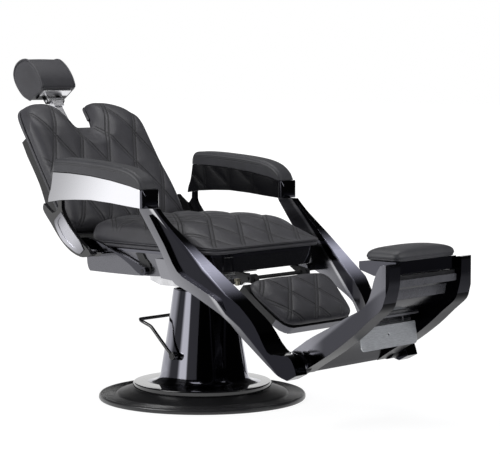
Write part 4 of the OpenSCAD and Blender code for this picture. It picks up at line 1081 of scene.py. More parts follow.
class CHAIR_OT_back_cushion(bpy.types.Operator):
    """Quilted back cushion: full width pad with two shoulders and a notch for the headrest post"""
    bl_idname = "chair.back_cushion"
    bl_label = "Back cushion"

    def execute(self, context):
        s = sizes()
        rows, cols, low = 116, 94, 92.0
        half, thick, back = mm(s.back_half), mm(s.back_thick), -57.0
        # columns stand closer where the notch walls rise
        ys = np.linspace(-half, half, 3001)
        step = np.hypot(np.gradient(ys), 0.8 * np.gradient(back_top(ys)))
        length = np.concatenate([[0], np.cumsum(step[1:])])
        yu = np.interp(np.linspace(0, length[-1], rows), length, ys)
        t = np.linspace(0, 1, cols)
        y, tt = np.meshgrid(yu, t, indexing="ij")
        u = y / half
        foot = low + 5 * u * u + 11 * np.abs(u) ** 8
        top_edge = back_top(y)
        z = foot + (top_edge - foot) * tt
        y = y - u * 3 * ((z - 300) / 170) ** 2
        d = np.maximum(0, np.minimum(np.minimum(half - np.abs(y) - 0.5, z - foot),
                                     (top_edge - z) * 0.9))
        rise = dome(d / 44)
        notch = ease((np.hypot(y, np.maximum(0, 478 - z) * 1.2) - 26) / 84)
        # seams cross the back's width every pitch and lean by the slope, from a start above foot
        pitch, slope, start = 118, 0.52, 46
        a, b = (y + slope * z - start) / pitch, (slope * z - y - start) / pitch
        spacing, run = pitch / math.hypot(1, slope), pitch / 2 * math.hypot(1, 1 / slope)
        cover, seam = quilt(a, b, spacing, mm(s.seam_half))
        lumbar = 13 * np.exp(-((z - 200) / 120) ** 2)
        n = (back + 20 + (thick - 20 + lumbar) * rise * (0.15 + 0.85 * notch) + 5 * rise * notch
             + back_bend(z)
             + mm(s.tuft_depth) * (cover - 1) * ease(d / 30) * notch)
        top = np.stack([n, y, z], -1)
        edge = border(rows, cols)
        ey, ez = y.ravel()[edge], z.ravel()[edge]
        # walls lean in towards the shell, with the pinched seam above the piping; less far in
        # along the top, where the shell is thin
        inward = self.inward(ey, ez)
        deep = 13.0
        reach = np.where(ez > 455, 5.5, deep)
        loops = []
        for inset, depth in ((0.2, 15.5), (2.0, 12.6), (5.0, 11.4), (9.0, 10.9), (deep, 10.4),
                             (deep, 6.0)):
            held_in = np.minimum(inset, reach)[:, None]
            ly, lz = (np.stack([ey, ez], -1) + inward * held_in).T
            loops.append(np.stack([back + depth + back_bend(lz), ly, lz], -1))
        fz = low + deep + (z - low) * (1 - 2 * deep / (mm(s.back_height) - low))
        floor = np.stack([fz, y * (1 - deep / half), fz], -1)
        flat = floor.reshape(-1, 3)
        flat[edge, 1], flat[edge, 2] = ey + inward[:, 0] * reach, ez + inward[:, 1] * reach
        flat[:, 0] = back + 0.5 + back_bend(flat[:, 2])
        shown = ease(d / 14) * (notch > 0.02)
        held = (seam < 6.0) | (d < 3)
        made_cushion("back_cushion_leather", back_place(top), [back_place(q) for q in loops],
                     back_place(flat.reshape(floor.shape)), "back", (a, b, spacing, run, shown),
                     "back_cushion", held, 3.0)
        return DONE

    @staticmethod
    def inward(ey, ez):
        """Unit direction into the outline at each edge point, square to the line through the
        points three places before and after it. The sign of the outline's area tells the side."""
        t = np.stack([np.roll(ey, -3) - np.roll(ey, 3), np.roll(ez, -3) - np.roll(ez, 3)], -1)
        t /= np.maximum(np.linalg.norm(t, axis=1)[:, None], 1e-9)
        normal = np.stack([-t[:, 1], t[:, 0]], -1)
        area = np.sum(ey * np.roll(ez, -1) - ez * np.roll(ey, -1))
        return normal if area > 0 else -normal


class CHAIR_OT_back_piping(bpy.types.Operator):
    """Back piping: a cord in leather round the back, open across the notch"""
    bl_idname = "chair.back_piping"
    bl_label = "Back piping"

    def execute(self, context):
        half, depth = mm(sizes().back_half), -51.9
        y = np.linspace(-62, -half + 5, 70)
        up = back_top(y) - 5
        top = np.stack([depth + back_bend(up), y + 2.4, up], -1)
        side = np.array([[depth, y, z] for y, z in (
            (-half + 5, 430), (-half + 5, 320), (-half + 5, 210), (-half + 5.5, 128),
            (-half + 11, 106), (-half + 30, 97), (-half + 80, 96), (0, 96))])
        right = np.vstack([top, smooth_path(side, 10)])
        left = right[::-1][1:] * [1, -1, 1]
        loop = even_path(np.vstack([right, left]), 420)
        points, faces, ends = tube(loop, 4.9, 14, aside=(1, 0, 0))
        put("back_piping_leather", back_place(points), faces, "back", "piping", "piping",
            ["back_piping"], ends, crease=60)
        return DONE


class CHAIR_OT_calf_cushion(bpy.types.Operator):
    """Quilted calf cushion: short crowned pad that narrows towards the footrest"""
    bl_idname = "chair.calf_cushion"
    bl_label = "Calf cushion"

    def execute(self, context):
        s = sizes()
        rows, cols = 76, 108
        qx, qy, rim = pad_grid(rows, cols, 7.0)
        middle, length, width = 118, 91, 170
        t = middle + length * qx
        y = (178 - 26 * ease((t - 60) / 160)) * qy
        p, q = 140, 120
        a, b = (t - 30) / p + y / q, (t - 30) / p - y / q
        spacing, run = 1 / math.hypot(1 / p, 1 / q), 0.5 * math.hypot(p, q)
        cover, seam = quilt(a, b, spacing, mm(s.seam_half))
        z = (15 + 21 * shoulder(rim, 0.70, 0.30) + 5 * (1 - rim * rim)
             + 4.5 * (cover - 1) * ease((1 - rim) / 0.2))
        edge = border(rows, cols)

        def inset(t, y, i, h):
            """Points drawn in towards the middle by i, at a height."""
            return np.stack([middle + (t - middle) * (1 - i / length), y * (1 - i / width),
                             np.full_like(t, h)], -1)
        top = np.stack([t, y, z], -1)
        loops = [inset(t.ravel()[edge], y.ravel()[edge], i, h)
                 for i, h in ((0.5, 12.5), (1.6, 10), (3.2, 8.6), (4.6, 6.5))]
        floor = inset(t, y, 5, 4.5)
        shown = ease((1 - rim) / 0.08)
        held = (seam < 6.0) | (rim > 0.97)
        made_cushion("calf_cushion_leather", calf_place(top), [calf_place(q) for q in loops],
                     calf_place(floor), "calf", (a, b, spacing, run, shown), "calf_cushion", held,
                     2.6)
        return DONE


class CHAIR_OT_foot_pad_cushion(bpy.types.Operator):
    """Foot pad: a plain moulded pad with a rounded edge and a welt round its foot"""
    bl_idname = "chair.foot_pad_cushion"
    bl_label = "Foot pad"

    def execute(self, context):
        rows, cols = 48, 100
        qx, qy, rim = pad_grid(rows, cols, 8.0)

        def level(qx, qy, i, h):
            """Points of the pad's outline or floor, set in by i, at a height."""
            return np.stack([801 + (61 - i) * qx, (139 - i) * qy, h + 0 * qx], -1)
        z = 501 + 16 * shoulder(rim, 0.68, 0.32) + 8 * (1 - qx * qx) * (1 - qy * qy)
        edge = border(rows, cols)
        loops = [level(qx.ravel()[edge], qy.ravel()[edge], i, h)
                 for i, h in ((-0.9, 500), (-0.9, 496), (0.6, 493.4), (2.2, 492.6), (1.0, 491.4),
                              (1.2, 489.4), (3.0, 488))]
        points, faces = closed_form(level(qx, qy, 0, z), loops, level(qx, qy, 5, 486.6))
        piece = put("foot_pad_skin", points, faces, "ankle_pad", "pad_leather", "pad_leather",
                    ["foot_pad_cushion"], crease=180)
        welt_top = 493
        plump(piece, points[:, 2] < welt_top, 1.5, 1.5, 40)
        divided(piece)
        return DONE


class CHAIR_OT_headrest_cushion(bpy.types.Operator):
    """Headrest: a rolled pad with two end panels, piped round each end"""
    bl_idname = "chair.headrest_cushion"
    bl_label = "Headrest cushion"

    @staticmethod
    def outline(count):
        """Side view of the headrest in the post's own frame, smooth and cut in equal steps."""
        knots = [[13, 22.4], [-24, 22.6], [-37, 38], [-47, 58], [-52, 86], [-51, 116], [-41, 141],
                 [-19, 156], [6, 157], [27, 149], [42, 134], [52, 104], [55, 72], [52, 45],
                 [42, 23]]
        return even_path(smooth_path(knots, 12, closed=True), count, closed=True)

    def execute(self, context):
        half = mm(sizes().head_half)
        count, foot = 120, 22.4
        line = self.outline(count)
        # each station across scales the side view about a point on its foot; ends draw in
        ends = np.array([0.86, 0.90, 0.95, 0.985, 1.0])
        station = np.concatenate([-ends[::-1], np.linspace(-0.80, 0.80, 33), ends])
        grow = 0.90 + 0.10 * shoulder(np.abs(station), 0.80, 0.20)
        puff = 1 + 0.012 * np.cos(station * np.pi / 2)
        flat_low = np.array([line.mean(0)[0], foot])
        ring = flat_low + (line[None] - flat_low) * (grow * puff)[:, None, None]
        ring[..., 1] = np.maximum(ring[..., 1], foot)
        y = np.broadcast_to((station * half)[:, None], ring.shape[:2])
        body = np.stack([ring[..., 0], y, ring[..., 1]], -1)
        # end panels: rings drawn in to the middle, sunk by 3 mm and domed by 2 mm
        shrink = np.array([0.93, 0.8, 0.6, 0.4, 0.2, 0.04])
        out = np.array([0.6, 1.2, 1.6, 1.9, 2.0, 2.0])
        panels = []
        for end, side in ((0, -1), (-1, 1)):
            middle = body[end].mean(0)
            cap = middle + (body[end][None] - middle) * shrink[:, None, None]
            cap[..., 1] += side * out[:, None] - side * 3.0
            panels.append(cap)
        body[..., 1] = np.sign(body[..., 1]) * np.minimum(np.abs(body[..., 1]), half - 2.0)
        rings = np.concatenate([panels[0][::-1], body, panels[1]])
        points = rings.reshape(-1, 3)
        faces = grid_quads(len(rings), count, wrap_cols=True)
        ends = [np.arange(count), np.arange(count) + (len(rings) - 1) * count]
        piece = put("headrest_skin", post_place(points), faces, "head", "pad_leather",
                    "leather_plain", ["headrest_cushion"], ends, crease=180)
        divided(piece)
        cords = []
        for y in (5.5 - half, half - 5.5):
            path = np.stack([line[:, 0], np.full(count, y), np.maximum(line[:, 1], 25.5)], -1)
            cords.append(tube(post_place(path), 3.1, 12, closed=True, aside=(0, 1, 0)))
        points, faces, ends = join_parts(cords)
        put("headrest_piping", points, faces, "head", "piping", "piping", [], ends, crease=60)
        return DONE


class CHAIR_OT_arm_pads(bpy.types.Operator):
    """Arm pads: moulded pads with a rounded top, a sewn welt along each side and a dropped nose"""
    bl_idname = "chair.arm_pads"
    bl_label = "Arm pads"

    @staticmethod
    def section(wide, low, high, radius, count):
        """Pad's cross-section at each station: a flat foot, upright sides, and a top rounded by
        an arc of the radius, walked in equal shares of its angle and its straights."""
        t = np.linspace(0, 1, count, endpoint=False)[None, :]
        rise = high - low
        r = np.minimum(radius, np.minimum(wide * 0.98, rise * 0.9))
        # shares of the walk: foot, right side, right arc, top, left arc, left side
        knots = np.array([0, 0.2, 0.34, 0.48, 0.66, 0.80, 1.0])
        k = np.clip((t - knots[:-1, None, None]) / np.diff(knots)[:, None, None], 0, 1)
        arc_r, arc_l = k[2] * np.pi / 2, k[4] * np.pi / 2
        y = -wide + 2 * wide * k[0] - (r - r * np.cos(arc_r)) - (2 * wide - 2 * r) * k[3]
        y = y - r * np.sin(arc_l)
        z = (low + (rise - r) * k[1] + r * np.sin(arc_r) - (r - r * np.cos(arc_l))
             - (rise - r) * k[5])
        return y, z

    def build(self, name, node, side):
        s = sizes()
        middle = (mm(s.arm_inner) + mm(s.arm_outer)) / 2
        half = (mm(s.arm_outer) - mm(s.arm_inner)) / 2 + 1.6
        top = smooth_path([[-306, 716], [-304, 730], [-297, 740], [-285, 744], [-250, 745],
                           [-200, 743.5], [-150, 740.5], [-95, 736.5], [-50, 732], [-11, 726.5],
                           [18, 719.5], [40, 711], [57, 700], [69, 688], [76, 676], [80, 664]], 8)
        foot = np.array([[-306, 702.6], [-303, 702.5], [-226, 701.5], [-139, 696.5], [-53, 686.5],
                         [30, 672.6], [73, 662.6], [84, 662.4]])
        line = even_path(top, 150)
        x = line[:, 0]
        high = line[:, 1][:, None]
        low = np.interp(x, foot[:, 0], foot[:, 1])[:, None]
        high = np.maximum(high, low + 1.2)
        # the pad narrows into its rounded ends
        reach = np.minimum(x - x[0], (x[-1] - x) * 1.2)[:, None]
        wide = half - 10 * (1 - dome(reach / 16 + 0.12))
        count = 56
        y, z = self.section(wide, low, high, 15.0, count)
        points = np.stack([np.broadcast_to(x[:, None], y.shape), side * (middle + y), z], -1)
        faces = grid_quads(len(x), count, wrap_cols=True)
        ends = [np.arange(count), np.arange(count) + (len(x) - 1) * count]
        # the welt's field: depth under the top on the sides, far off elsewhere
        values = {"welt": np.where(np.abs(y) > wide * 0.6, high - z, 60).ravel()}
        piece = put(name, points.reshape(-1, 3), faces, "chair", "pad_leather", "arm_pad_skin",
                    [node], ends, values=values, crease=50)
        divided(piece)

    def execute(self, context):
        self.build("arm_pad_left_skin", "arm_pad_left", 1)
        self.build("arm_pad_right_skin", "arm_pad_right", -1)
        return DONE


# ---------------------------------------------------------------- base, column and pump
class CHAIR_OT_base(bpy.types.Operator):
    """Base: ribbed rubber floor ring, satin dome and gloss disc, all turned"""
    bl_idname = "chair.base"
    bl_label = "Base"

    def execute(self, context):
        outer = mm(span("base_ring", 0)[1])
        disc = mm(span("base_cover", 0)[1])
        height = mm(span("base_ring", 2)[1])
        groove = ((-1.9, 0.1), (-1.2, 1.9), (1.2, 1.9), (1.9, 0.1))
        crest = [[r + dx, height - dz] for r in np.linspace(271, outer - 9, 9) for dx, dz in groove]
        ring = rounded_profile(
            [[262, 0.0], [outer - 2, 0.0], [outer, 3], [outer, height - 5], [outer - 4.5, height]]
            + crest[::-1] + [[268.4, height], [268.4, 10.05], [262, 10.05]],
            [0.5, 1.5, 2, 3, 2.5] + [0.5] * len(crest) + [0.8, 0.5, 0.5], 4)
        put("base_ring_rubber", *turned(ring, 192), "base", "floor_rubber", "floor_rubber",
            ["base_ring"], crease=50)
        dome_line = smooth_path([[267.8, 15], [262, 19.6], [246, 25], [230, 30], [disc - 2, 34]], 8)
        under = [[46, 24], [46, 10], [70, 10], [80, 22], [205, 20], [240, 10.3], [267.8, 10.3]]
        plate = np.vstack([under, dome_line, [[78.5, 34], [78.5, 24.5]]])
        put("base_plate_dome", *turned(plate, 192), "base", "satin_black", "satin_black",
            ["base_plate"], crease=38)
        cover = rounded_profile([[disc - 8, 34.1], [disc, 34.1], [disc, 51.5], [120, 51.5],
                                 [120, 46], [disc - 14, 46], [disc - 8, 40]],
                                [0.6, 1.2, 4.5, 1, 1, 1, 1], 8)
        put("base_cover_disc", *turned(cover, 192), "base", "gloss_black", "gloss_black",
            ["base_cover"], crease=38)
        return DONE


class CHAIR_OT_column(bpy.types.Operator):
    """Column: two enamelled covers that meet on a leaning seam, tapered rounded oblongs with a
    flared foot"""
    bl_idname = "chair.column"
    bl_label = "Column covers"

    @staticmethod
    def levels(count):
        """Half length and half width at each height: a straight taper over a coved foot."""
        line = smooth_path([[51.6, 160, 149], [52.6, 150, 137], [55, 141, 127], [59, 134.5, 120],
                            [66, 129.5, 115], [80, 126, 111.5], [110, 121.5, 107.5],
                            [170, 112.5, 98.5], [250, 102, 87], [330, 93, 76], [336, 91, 74]], 8)
        keep = np.linspace(0, len(line) - 1, count)
        return np.stack([np.interp(keep, np.arange(len(line)), line[:, k]) for k in range(3)], -1)

    def shell(self, name, node, front):
        """One cover, its middle 8 mm in front of the axis: a wall round its share of the oblong,
        up to a seam that leans forward, half a gap of 0.7 mm away from it."""
        power, thick, rows, cols = 3.1, 4.5, 60, 150
        level = self.levels(rows)
        z = level[:, 0]
        seam = -36 + 22 * (z - 40) / 320 + (0.35 if front else -0.35) - 8
        walls = []
        for inset in (0.0, thick):
            a, b = level[:, 1] - inset, level[:, 2] - inset
            ratio = np.clip(np.abs(seam) / a, 0, 1) ** (power / 2)
            meet = np.pi - np.arccos(ratio)
            t = np.linspace(-1, 1, cols)[None, :]
            angle = t * meet[:, None] if front else np.pi + t * (np.pi - meet[:, None])
            x, y = superellipse(a[:, None], b[:, None], power, angle)
            walls.append(np.stack([x + 8, y, np.broadcast_to(z[:, None], x.shape)], -1))
        outer, inner = walls
        edge = border(rows, cols)
        count = rows * cols
        after = np.roll(edge, -1)
        faces = np.vstack([grid_quads(rows, cols), grid_quads(rows, cols, start=count, flip=True),
                           np.stack([edge, after, after + count, edge + count], -1)])
        piece = put(name, np.vstack([outer.reshape(-1, 3), inner.reshape(-1, 3)]), faces, "base",
                    "gloss_black", "column_gloss", [node], crease=50)
        if front:
            self.bore(piece)

    @staticmethod
    def bore(piece):
        """Cuts the pedal shaft's hole through both sides of the cover."""
        x, z = PEDAL_SHAFT
        axis = np.stack([np.full(9, float(x)), np.linspace(-170, 170, 9), np.full(9, float(z))], -1)
        mesh = mesh_of("shaft", *tube(axis, 10.6, 32, aside=(0, 0, 1)))
        cutter = linked("shaft", mesh)
        bm = bmesh.new()
        bm.from_mesh(mesh)
        bmesh.ops.recalc_face_normals(bm, faces=bm.faces)
        bm.to_mesh(mesh)
        bm.free()
        hole = piece.modifiers.new("hole", "BOOLEAN")
        hole.operation, hole.object, hole.solver = "DIFFERENCE", cutter, "EXACT"
        frozen(piece)
        bpy.data.objects.remove(cutter)

    def execute(self, context):
        self.shell("column_front_enamel", "column_front_cover", True)
        self.shell("column_rear_enamel", "column_rear_cover", False)
        return DONE


class CHAIR_OT_pump(bpy.types.Operator):
    """Pump: pedal yoke bent from one bar, its shafts, the hydraulic unit and the lifting ram"""
    bl_idname = "chair.pump"
    bl_label = "Pump and pedal"

    def execute(self, context):
        left = np.array([[-20, 122, 147], [-58, 122, 182], [-92, 122, 214], [-104, 122, 223.4],
                         [-118, 122, 228.5], [-138, 122, 235], [-149, 120, 238.6],
                         [-154.5, 113, 240.6], [-156, 104, 241]], float)
        right = (left * [1, -1, 1])[::-1]
        bar = even_path(smooth_path(np.vstack([left, [[-156, 0, 241]], right]), 10), 220)
        parts = [tube(bar, 5.4, 16, aside=(0.67, 0, 0.74))]
        x, z = PEDAL_SHAFT
        hub = rounded_profile([[9.02, 0], [12.5, 0], [12.5, 17], [9.02, 17]],
                              [0.5, 1.5, 1.5, 0.5], 4)
        points, faces = turned(hub, 56)
        for side in (-1, 1):
            place = np.stack([points[:, 0] + x, side * (108 + points[:, 2]), points[:, 1] + z], -1)
            parts.append((place, faces, []))
        points, faces, ends = join_parts(parts)
        put("pedal_yoke_bar", points, faces, "pump_pedal", "gloss_black", "gloss_black",
            ["pedal_yoke"], ends, crease=45)
        turns = 4
        turn = np.linspace(0, 2 * np.pi * turns, 240)
        coil = np.stack([x + 14 * np.cos(turn), 60.3 + 9 * turn / turn[-1],
                         z + 14 * np.sin(turn)], -1)
        points, faces, ends = tube(coil, 0.85, 8, aside=(0, 1, 0))
        put("return_spring_wire", points, faces, "base", "bolt_steel", "plated_steel",
            ["return_spring"], ends)
        machined_all(("pedal_stub_left", "satin_black", "bolt_steel", 0.8),
                     ("pedal_stub_right", "satin_black", "bolt_steel", 0.8),
                     ("pump_plunger", "ram_chrome", "ram_chrome", 0.6),
                     ("pump_cylinder", "plated_steel", "pump_iron", 1.0),
                     ("pump_body", "pump_iron", "pump_iron", 1.6),
                     ("pump_bolts", "plated_steel", "bolt_steel", 0.6),
                     ("piston_ram", "ram_chrome", "ram_chrome", 0.8),
                     ("piston_seal", "seal", "seal", 0.3))
        return DONE


# ---------------------------------------------------------------- seat frame, arms, side frames
class CHAIR_OT_seat_frame(bpy.types.Operator):
    """Seat frame: hub, bracket, welded frame with its bright trim edge, side panels and apron"""
    bl_idname = "chair.seat_frame"
    bl_label = "Seat frame"

    def execute(self, context):
        machined_all(("seat_hub", "pump_iron", "bracket_metal", 1.0),
                     ("seat_bracket", "bright_bracket", "bracket_metal", 1.2),
                     ("mount_bolts", "bolt_steel", "bolt_steel", 0.5))
        trim, half_trim, pin_gap = 470, 4.6, 0.15
        machined("seat_frame", "satin_black", "seat_metal", 0.8, more="tinted_metal",
                 choose=lambda at, up: np.abs(at[:, 2] - trim) < half_trim)
        machined_all(("seat_side_panel_left", "side_panel_metal", "seat_metal", 1.2),
                     ("seat_side_panel_right", "side_panel_metal", "seat_metal", 1.2),
                     ("seat_apron", "gloss_black", "gloss_black", 1.2, 2, 40),
                     ("back_hinge_rod", "plated_steel", "bolt_steel", 0.8),
                     ("calf_hinge_rod", "satin_black", "black_rod", 0.6))
        self.slim(machined("leg_pivot_pins", "plated_steel", "bolt_steel", 1.0).data, pin_gap)
        return DONE

    @staticmethod
    def slim(pins, gap):
        """Draws cross pins in by a gap in millimetres, so that the flats of pin and bore stay
        apart as the arms turn."""
        points = corners(pins)
        low, high = points.min(0), points.max(0)
        share = 1 - gap * 0.001 / ((high[0] - low[0]) / 2)
        for axis in (0, 2):
            middle = (low[axis] + high[axis]) / 2
            points[:, axis] = middle + (points[:, axis] - middle) * share
        move_corners(pins, points)


class CHAIR_OT_arms(bpy.types.Operator):
    """Arms: polished housings, tinted front blocks and the hooked rear brackets"""
    bl_idname = "chair.arms"
    bl_label = "Arms"

    def execute(self, context):
        outer = mm(sizes().arm_outer)
        for side in ("left", "right"):
            machined("arm_housing_" + side, "gloss_black", "dark_polish", 2.4, 3,
                     more="arm_panel", choose=lambda at, up: np.abs(at[:, 1]) > outer - 2.6)
            machined("arm_front_block_" + side, "black_chrome", "dark_polish", 2.0, 3)
            machined("rear_bracket_" + side, "gloss_black", "dark_frame", 1.6, 3,
                     more="hook_metal", choose=lambda at, up: np.abs(at[:, 1]) > outer - 35.4)
        return DONE


class CHAIR_OT_side_frames(bpy.types.Operator):
    """Side frames: polished castings from the arms down to the footrest pivot, with the floor of
    the channel along the outer face darkened as painted shade"""
    bl_idname = "chair.side_frames"
    bl_label = "Side frames"

    def execute(self, context):
        def channel(at, up):
            floor = (np.abs(np.abs(at[:, 1]) - 308) < 1.5) & (np.abs(up[:, 1]) > 0.9)
            return floor & (at[:, 0] > 80) & (at[:, 0] < 400)
        for side in ("left", "right"):
            # painted shade: the floor of the channel gets a darker finish
            machined("side_frame_" + side, "frame_metal", "dark_frame", 2.0, 3, 28,
                     more="dark_channel", choose=channel)
        return DONE


class CHAIR_OT_lever(bpy.types.Operator):
    """Recline lever, its bracket and the recline cylinder under the seat"""
    bl_idname = "chair.lever"
    bl_label = "Recline lever"

    def execute(self, context):
        machined_all(("recline_lever", "lever_metal", "dark_polish", 2.4, 3),
                     ("lever_bracket", "satin_black", "satin_black", 0.8),
                     ("recline_cylinder", "satin_black", "pump_iron", 1.0),
                     ("recline_rod", "ram_chrome", "ram_chrome", 0.8))
        return DONE


# ---------------------------------------------------------------- back and headrest
class CHAIR_OT_back_shell(bpy.types.Operator):
    """Back shell, the guide for the headrest post, and the lever that leans the back"""
    bl_idname = "chair.back_shell"
    bl_label = "Back shell"

    def execute(self, context):
        machined_all(("back_shell", "satin_black", "satin_black", 2.0, 3, 30),
                     ("post_guide", "satin_black", "satin_black", 1.0),
                     ("back_lever", "plated_steel", "bracket_metal", 1.0))
        return DONE


class CHAIR_OT_headrest_frame(bpy.types.Operator):
    """Headrest post with its clamp, pivot pin and plate"""
    bl_idname = "chair.headrest_frame"
    bl_label = "Headrest post"

    def execute(self, context):
        machined_all(("headrest_post", "post_metal", "ram_chrome", 1.2, 3),
                     ("headrest_clamp", "post_metal", "satin_black", 1.2),
                     ("headrest_plate", "plate_metal", "bracket_metal", 1.0),
                     ("headrest_pin", "plated_steel", "bolt_steel", 0.6))
        return DONE


# ---------------------------------------------------------------- leg rest and footrest
class CHAIR_OT_leg_rest(bpy.types.Operator):
    """Leg rest: satin shell under the calf cushion, with a lighter lower lip"""
    bl_idname = "chair.leg_rest"
    bl_label = "Calf shell"

    def execute(self, context):
        machined("calf_shell", "satin_black", "gloss_black", 2.0, 3, 30, more="cast_frame",
                 choose=lambda at, up: (up[:, 0] > 0.3) & (up[:, 2] < -0.2))
        return DONE


class CHAIR_OT_footrest(bpy.types.Operator):
    """Footrest: tinted arms with painted highlights and painted shade on their lower and inner
    faces, stepped cross frame with painted shade on its underside, brushed footplate and the foot
    pad's base
    """
    bl_idname = "chair.footrest"
    bl_label = "Footrest"

    def execute(self, context):
        for side in ("left", "right"):
            # painted shade: the arms' lower faces and faces turned to the middle get a near-black
            # finish
            machined("leg_arm_" + side, "leg_metal", "dark_frame", 2.4, 3, 28, more="leg_inner",
                     choose=lambda at, up: (up[:, 2] < -0.3)
                     | (up[:, 1] * np.sign(at[:, 1]) < -0.4))
        # painted shade: the cross frame's underside gets a darker finish
        machined("footrest_frame", "satin_cast", "dark_frame", 1.2, 2, more="dark_channel",
                 choose=lambda at, up: up[:, 2] < -0.3)
        # rubber strip on the cross frame, under the foot pad: one outline carried across
        half = mm(span("footrest_frame", 1)[1]) - 1
        outline = rounded_profile([[827, 434.5], [851, 434.5], [851, 446.5], [827, 445.5]],
                                  [0.5, 0.5, 3, 3], 4)
        count, steps = len(outline), 9
        y = np.linspace(-half, half, steps)[:, None]
        x, z = outline.T[:, None, :] + 0 * y
        put("foot_pad_bumper", np.stack([x, y + 0 * x, z], -1).reshape(-1, 3),
            grid_quads(steps, count, wrap_cols=True), "footrest", "dark_frame", "floor_rubber", [],
            [np.arange(count), np.arange(count) + (steps - 1) * count])
        machined_all(("footplate", "brushed_plate", "brushed_plate", 1.0, 3),
                     ("footplate_screws", "plated_steel", "bolt_steel", 0.5),
                     ("foot_pad_base", "black_chrome", "satin_black", 1.6, 3))
        return DONE


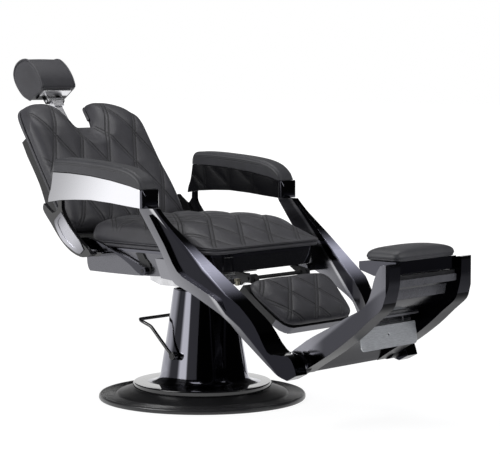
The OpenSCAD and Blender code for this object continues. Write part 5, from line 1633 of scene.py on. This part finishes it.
# ---------------------------------------------------------------- studio
class CHAIR_OT_stage(bpy.types.Operator):
    """Studio: pale floor, camera, soft lights, an even sky and dark flags on the camera's side"""
    bl_idname = "chair.stage"
    bl_label = "Studio"

    @staticmethod
    def lamp(name, place, target, size, power):
        light = bpy.data.lights.new(name, "AREA")
        light.shape, light.size, light.size_y, light.energy = "RECTANGLE", size[0], size[1], power
        lamp = linked(name, light)
        lamp.location = place
        aim = np.array(target) - np.array(place)
        lamp.rotation_euler = (math.atan2(math.hypot(aim[0], aim[1]), -aim[2]), 0,
                               math.atan2(-aim[0], aim[1]))
        lamp.visible_camera = False

    @staticmethod
    def floor_material():
        ground = Finish("studio_floor", Specular_IOR_Level=0.2)
        soil = ground.noise(3, 3.0)
        tone = tuple(colours().floor)
        ground.set("Base Color", ground.tint(soil.between(0.3, 0.7), shade(tone, 0.99), tone))
        ground.set("Roughness", 0.7)
        seen, glossy = ground.seen()
        front = ground.towards((0.97, 0.24, 0)).between(0.1, 1.6)
        glow = ground.add("ShaderNodeEmission", None, {
            "Color": ground.tint(glossy * front, (1, 1, 1), (0.035, 0.035, 0.04)),
            "Strength": 1.15})
        away = ground.add("ShaderNodeVectorMath", {"operation": "LENGTH"}, {0: ground.place})
        far = Value(ground, away.outputs["Value"]).between(1.2, 3.6)
        mix = ground.add("ShaderNodeMixShader", None, {
            0: seen * (far * 0.22 + 0.78), 1: ground.shader.outputs[0], 2: glow.outputs[0]})
        ground.feed(ground.out.inputs[0], mix.outputs[0])
        return ground.material

    def flag(self, name, start, end, low, high, radius, strength):
        """Dark card standing round the chair between two bearings, seen by reflections alone."""
        a = np.radians(np.linspace(start, end, 40))[:, None]
        z = np.linspace(low, high, 2)[None, :]
        away = np.broadcast_to(np.asarray(radius, float), (2,))[None, :]
        points = 1000 * np.stack([away * np.cos(a), away * np.sin(a), z + 0 * a], -1)
        card = linked(name, mesh_of(name, points.reshape(-1, 3), grid_quads(40, 2)))
        dark = Finish(name)
        glow = dark.add("ShaderNodeEmission", None, {"Color": (strength,) * 3, "Strength": 1.0})
        dark.feed(dark.out.inputs[0], glow.outputs[0])
        card.data.materials.append(dark.material)
        card.visible_camera = card.visible_diffuse = card.visible_shadow = False
        card.visible_transmission = card.visible_volume_scatter = False

    def execute(self, context):
        studio = context.scene.chair_studio
        scene = context.scene
        scene.view_settings.view_transform = "Standard"
        camera = bpy.data.cameras.new("studio_camera")
        camera.lens, camera.sensor_width, camera.sensor_fit = studio.lens, 36.0, "HORIZONTAL"
        camera.clip_end = 100
        scene.camera = linked("studio_camera", camera)
        scene.camera.location, scene.camera.rotation_euler = studio.camera_place, studio.camera_turn
        half = 40000
        floor = linked("studio_floor", mesh_of("studio_floor", [
            (-half, -half, 0), (half, -half, 0), (half, half, 0), (-half, half, 0)],
            [(0, 1, 2, 3)]))
        floor.data.materials.append(self.floor_material())
        self.flag("flag_front", -104, 72, -0.4, 4.6, 7.5, 0.012)
        self.flag("flag_rear", 72, 256, 1.7, 4.6, 7.5, 0.05)
        self.flag("flag_over", 0, 360, 4.6, 4.62, (0.2, 7.6), 0.03)
        self.lamp("key", (-1.2, -3.4, 2.9), (0, 0, 0.5), (2.2, 1.6), studio.key)
        self.lamp("fill", (3.4, 1.2, 2.0), (0.1, 0, 0.5), (1.6, 1.6), studio.fill)
        self.lamp("top", (-0.3, 0.6, 3.6), (0, 0, 0.5), (2.6, 2.0), studio.top)
        world = bpy.data.worlds.new("studio")
        scene.world = world
        world.use_nodes = True
        nodes = Nodes(world.node_tree)
        out = nodes.add("ShaderNodeOutputWorld")
        even, plain = (
            nodes.add("ShaderNodeBackground", None, {"Color": tone, "Strength": strength})
            for tone, strength in (((0.93, 0.95, 1.0), studio.sky), ((1, 1, 1), 1.0)))
        mix = nodes.add("ShaderNodeMixShader", None, {
            0: nodes.seen()[0], 1: even.outputs[0], 2: plain.outputs[0]})
        nodes.feed(out.inputs[0], mix.outputs[0])
        return DONE


PIECES = (
    CHAIR_OT_stage, CHAIR_OT_base, CHAIR_OT_column, CHAIR_OT_pump, CHAIR_OT_seat_frame,
    CHAIR_OT_seat_cushion, CHAIR_OT_seat_piping, CHAIR_OT_arms, CHAIR_OT_arm_pads,
    CHAIR_OT_side_frames, CHAIR_OT_lever, CHAIR_OT_back_shell, CHAIR_OT_back_cushion,
    CHAIR_OT_back_piping, CHAIR_OT_headrest_frame, CHAIR_OT_headrest_cushion, CHAIR_OT_leg_rest,
    CHAIR_OT_calf_cushion, CHAIR_OT_footrest, CHAIR_OT_foot_pad_cushion,
)


class CHAIR_PT_panel(bpy.types.Panel):
    """Lists the chair's sizes, colours and pieces"""
    bl_idname = "CHAIR_PT_panel"
    bl_label = "Barber Chair"
    bl_space_type = "VIEW_3D"
    bl_region_type = "UI"
    bl_category = "Barber Chair"

    def draw(self, context):
        for name in GROUPS:
            group, box = getattr(context.scene, name), self.layout.box()
            for key in group.__annotations__:
                box.prop(group, key)
        column = self.layout.column(align=True)
        for piece in PIECES:
            column.operator(piece.bl_idname)


GROUPS = {"chair_sizes": ChairSizes, "chair_colours": ChairColours, "chair_studio": ChairStudio}


def register():
    for key, group in GROUPS.items():
        bpy.utils.register_class(group)
        setattr(bpy.types.Scene, key, bpy.props.PointerProperty(type=group))
    for piece in (*PIECES, CHAIR_PT_panel):
        bpy.utils.register_class(piece)


def unregister():
    for piece in (*PIECES, CHAIR_PT_panel):
        bpy.utils.unregister_class(piece)
    for key, group in GROUPS.items():
        delattr(bpy.types.Scene, key)
        bpy.utils.unregister_class(group)


def main():
    register()
    for piece in PIECES:
        getattr(bpy.ops.chair, piece.bl_idname.split(".")[1])()


if __name__ == "__main__":
    main()
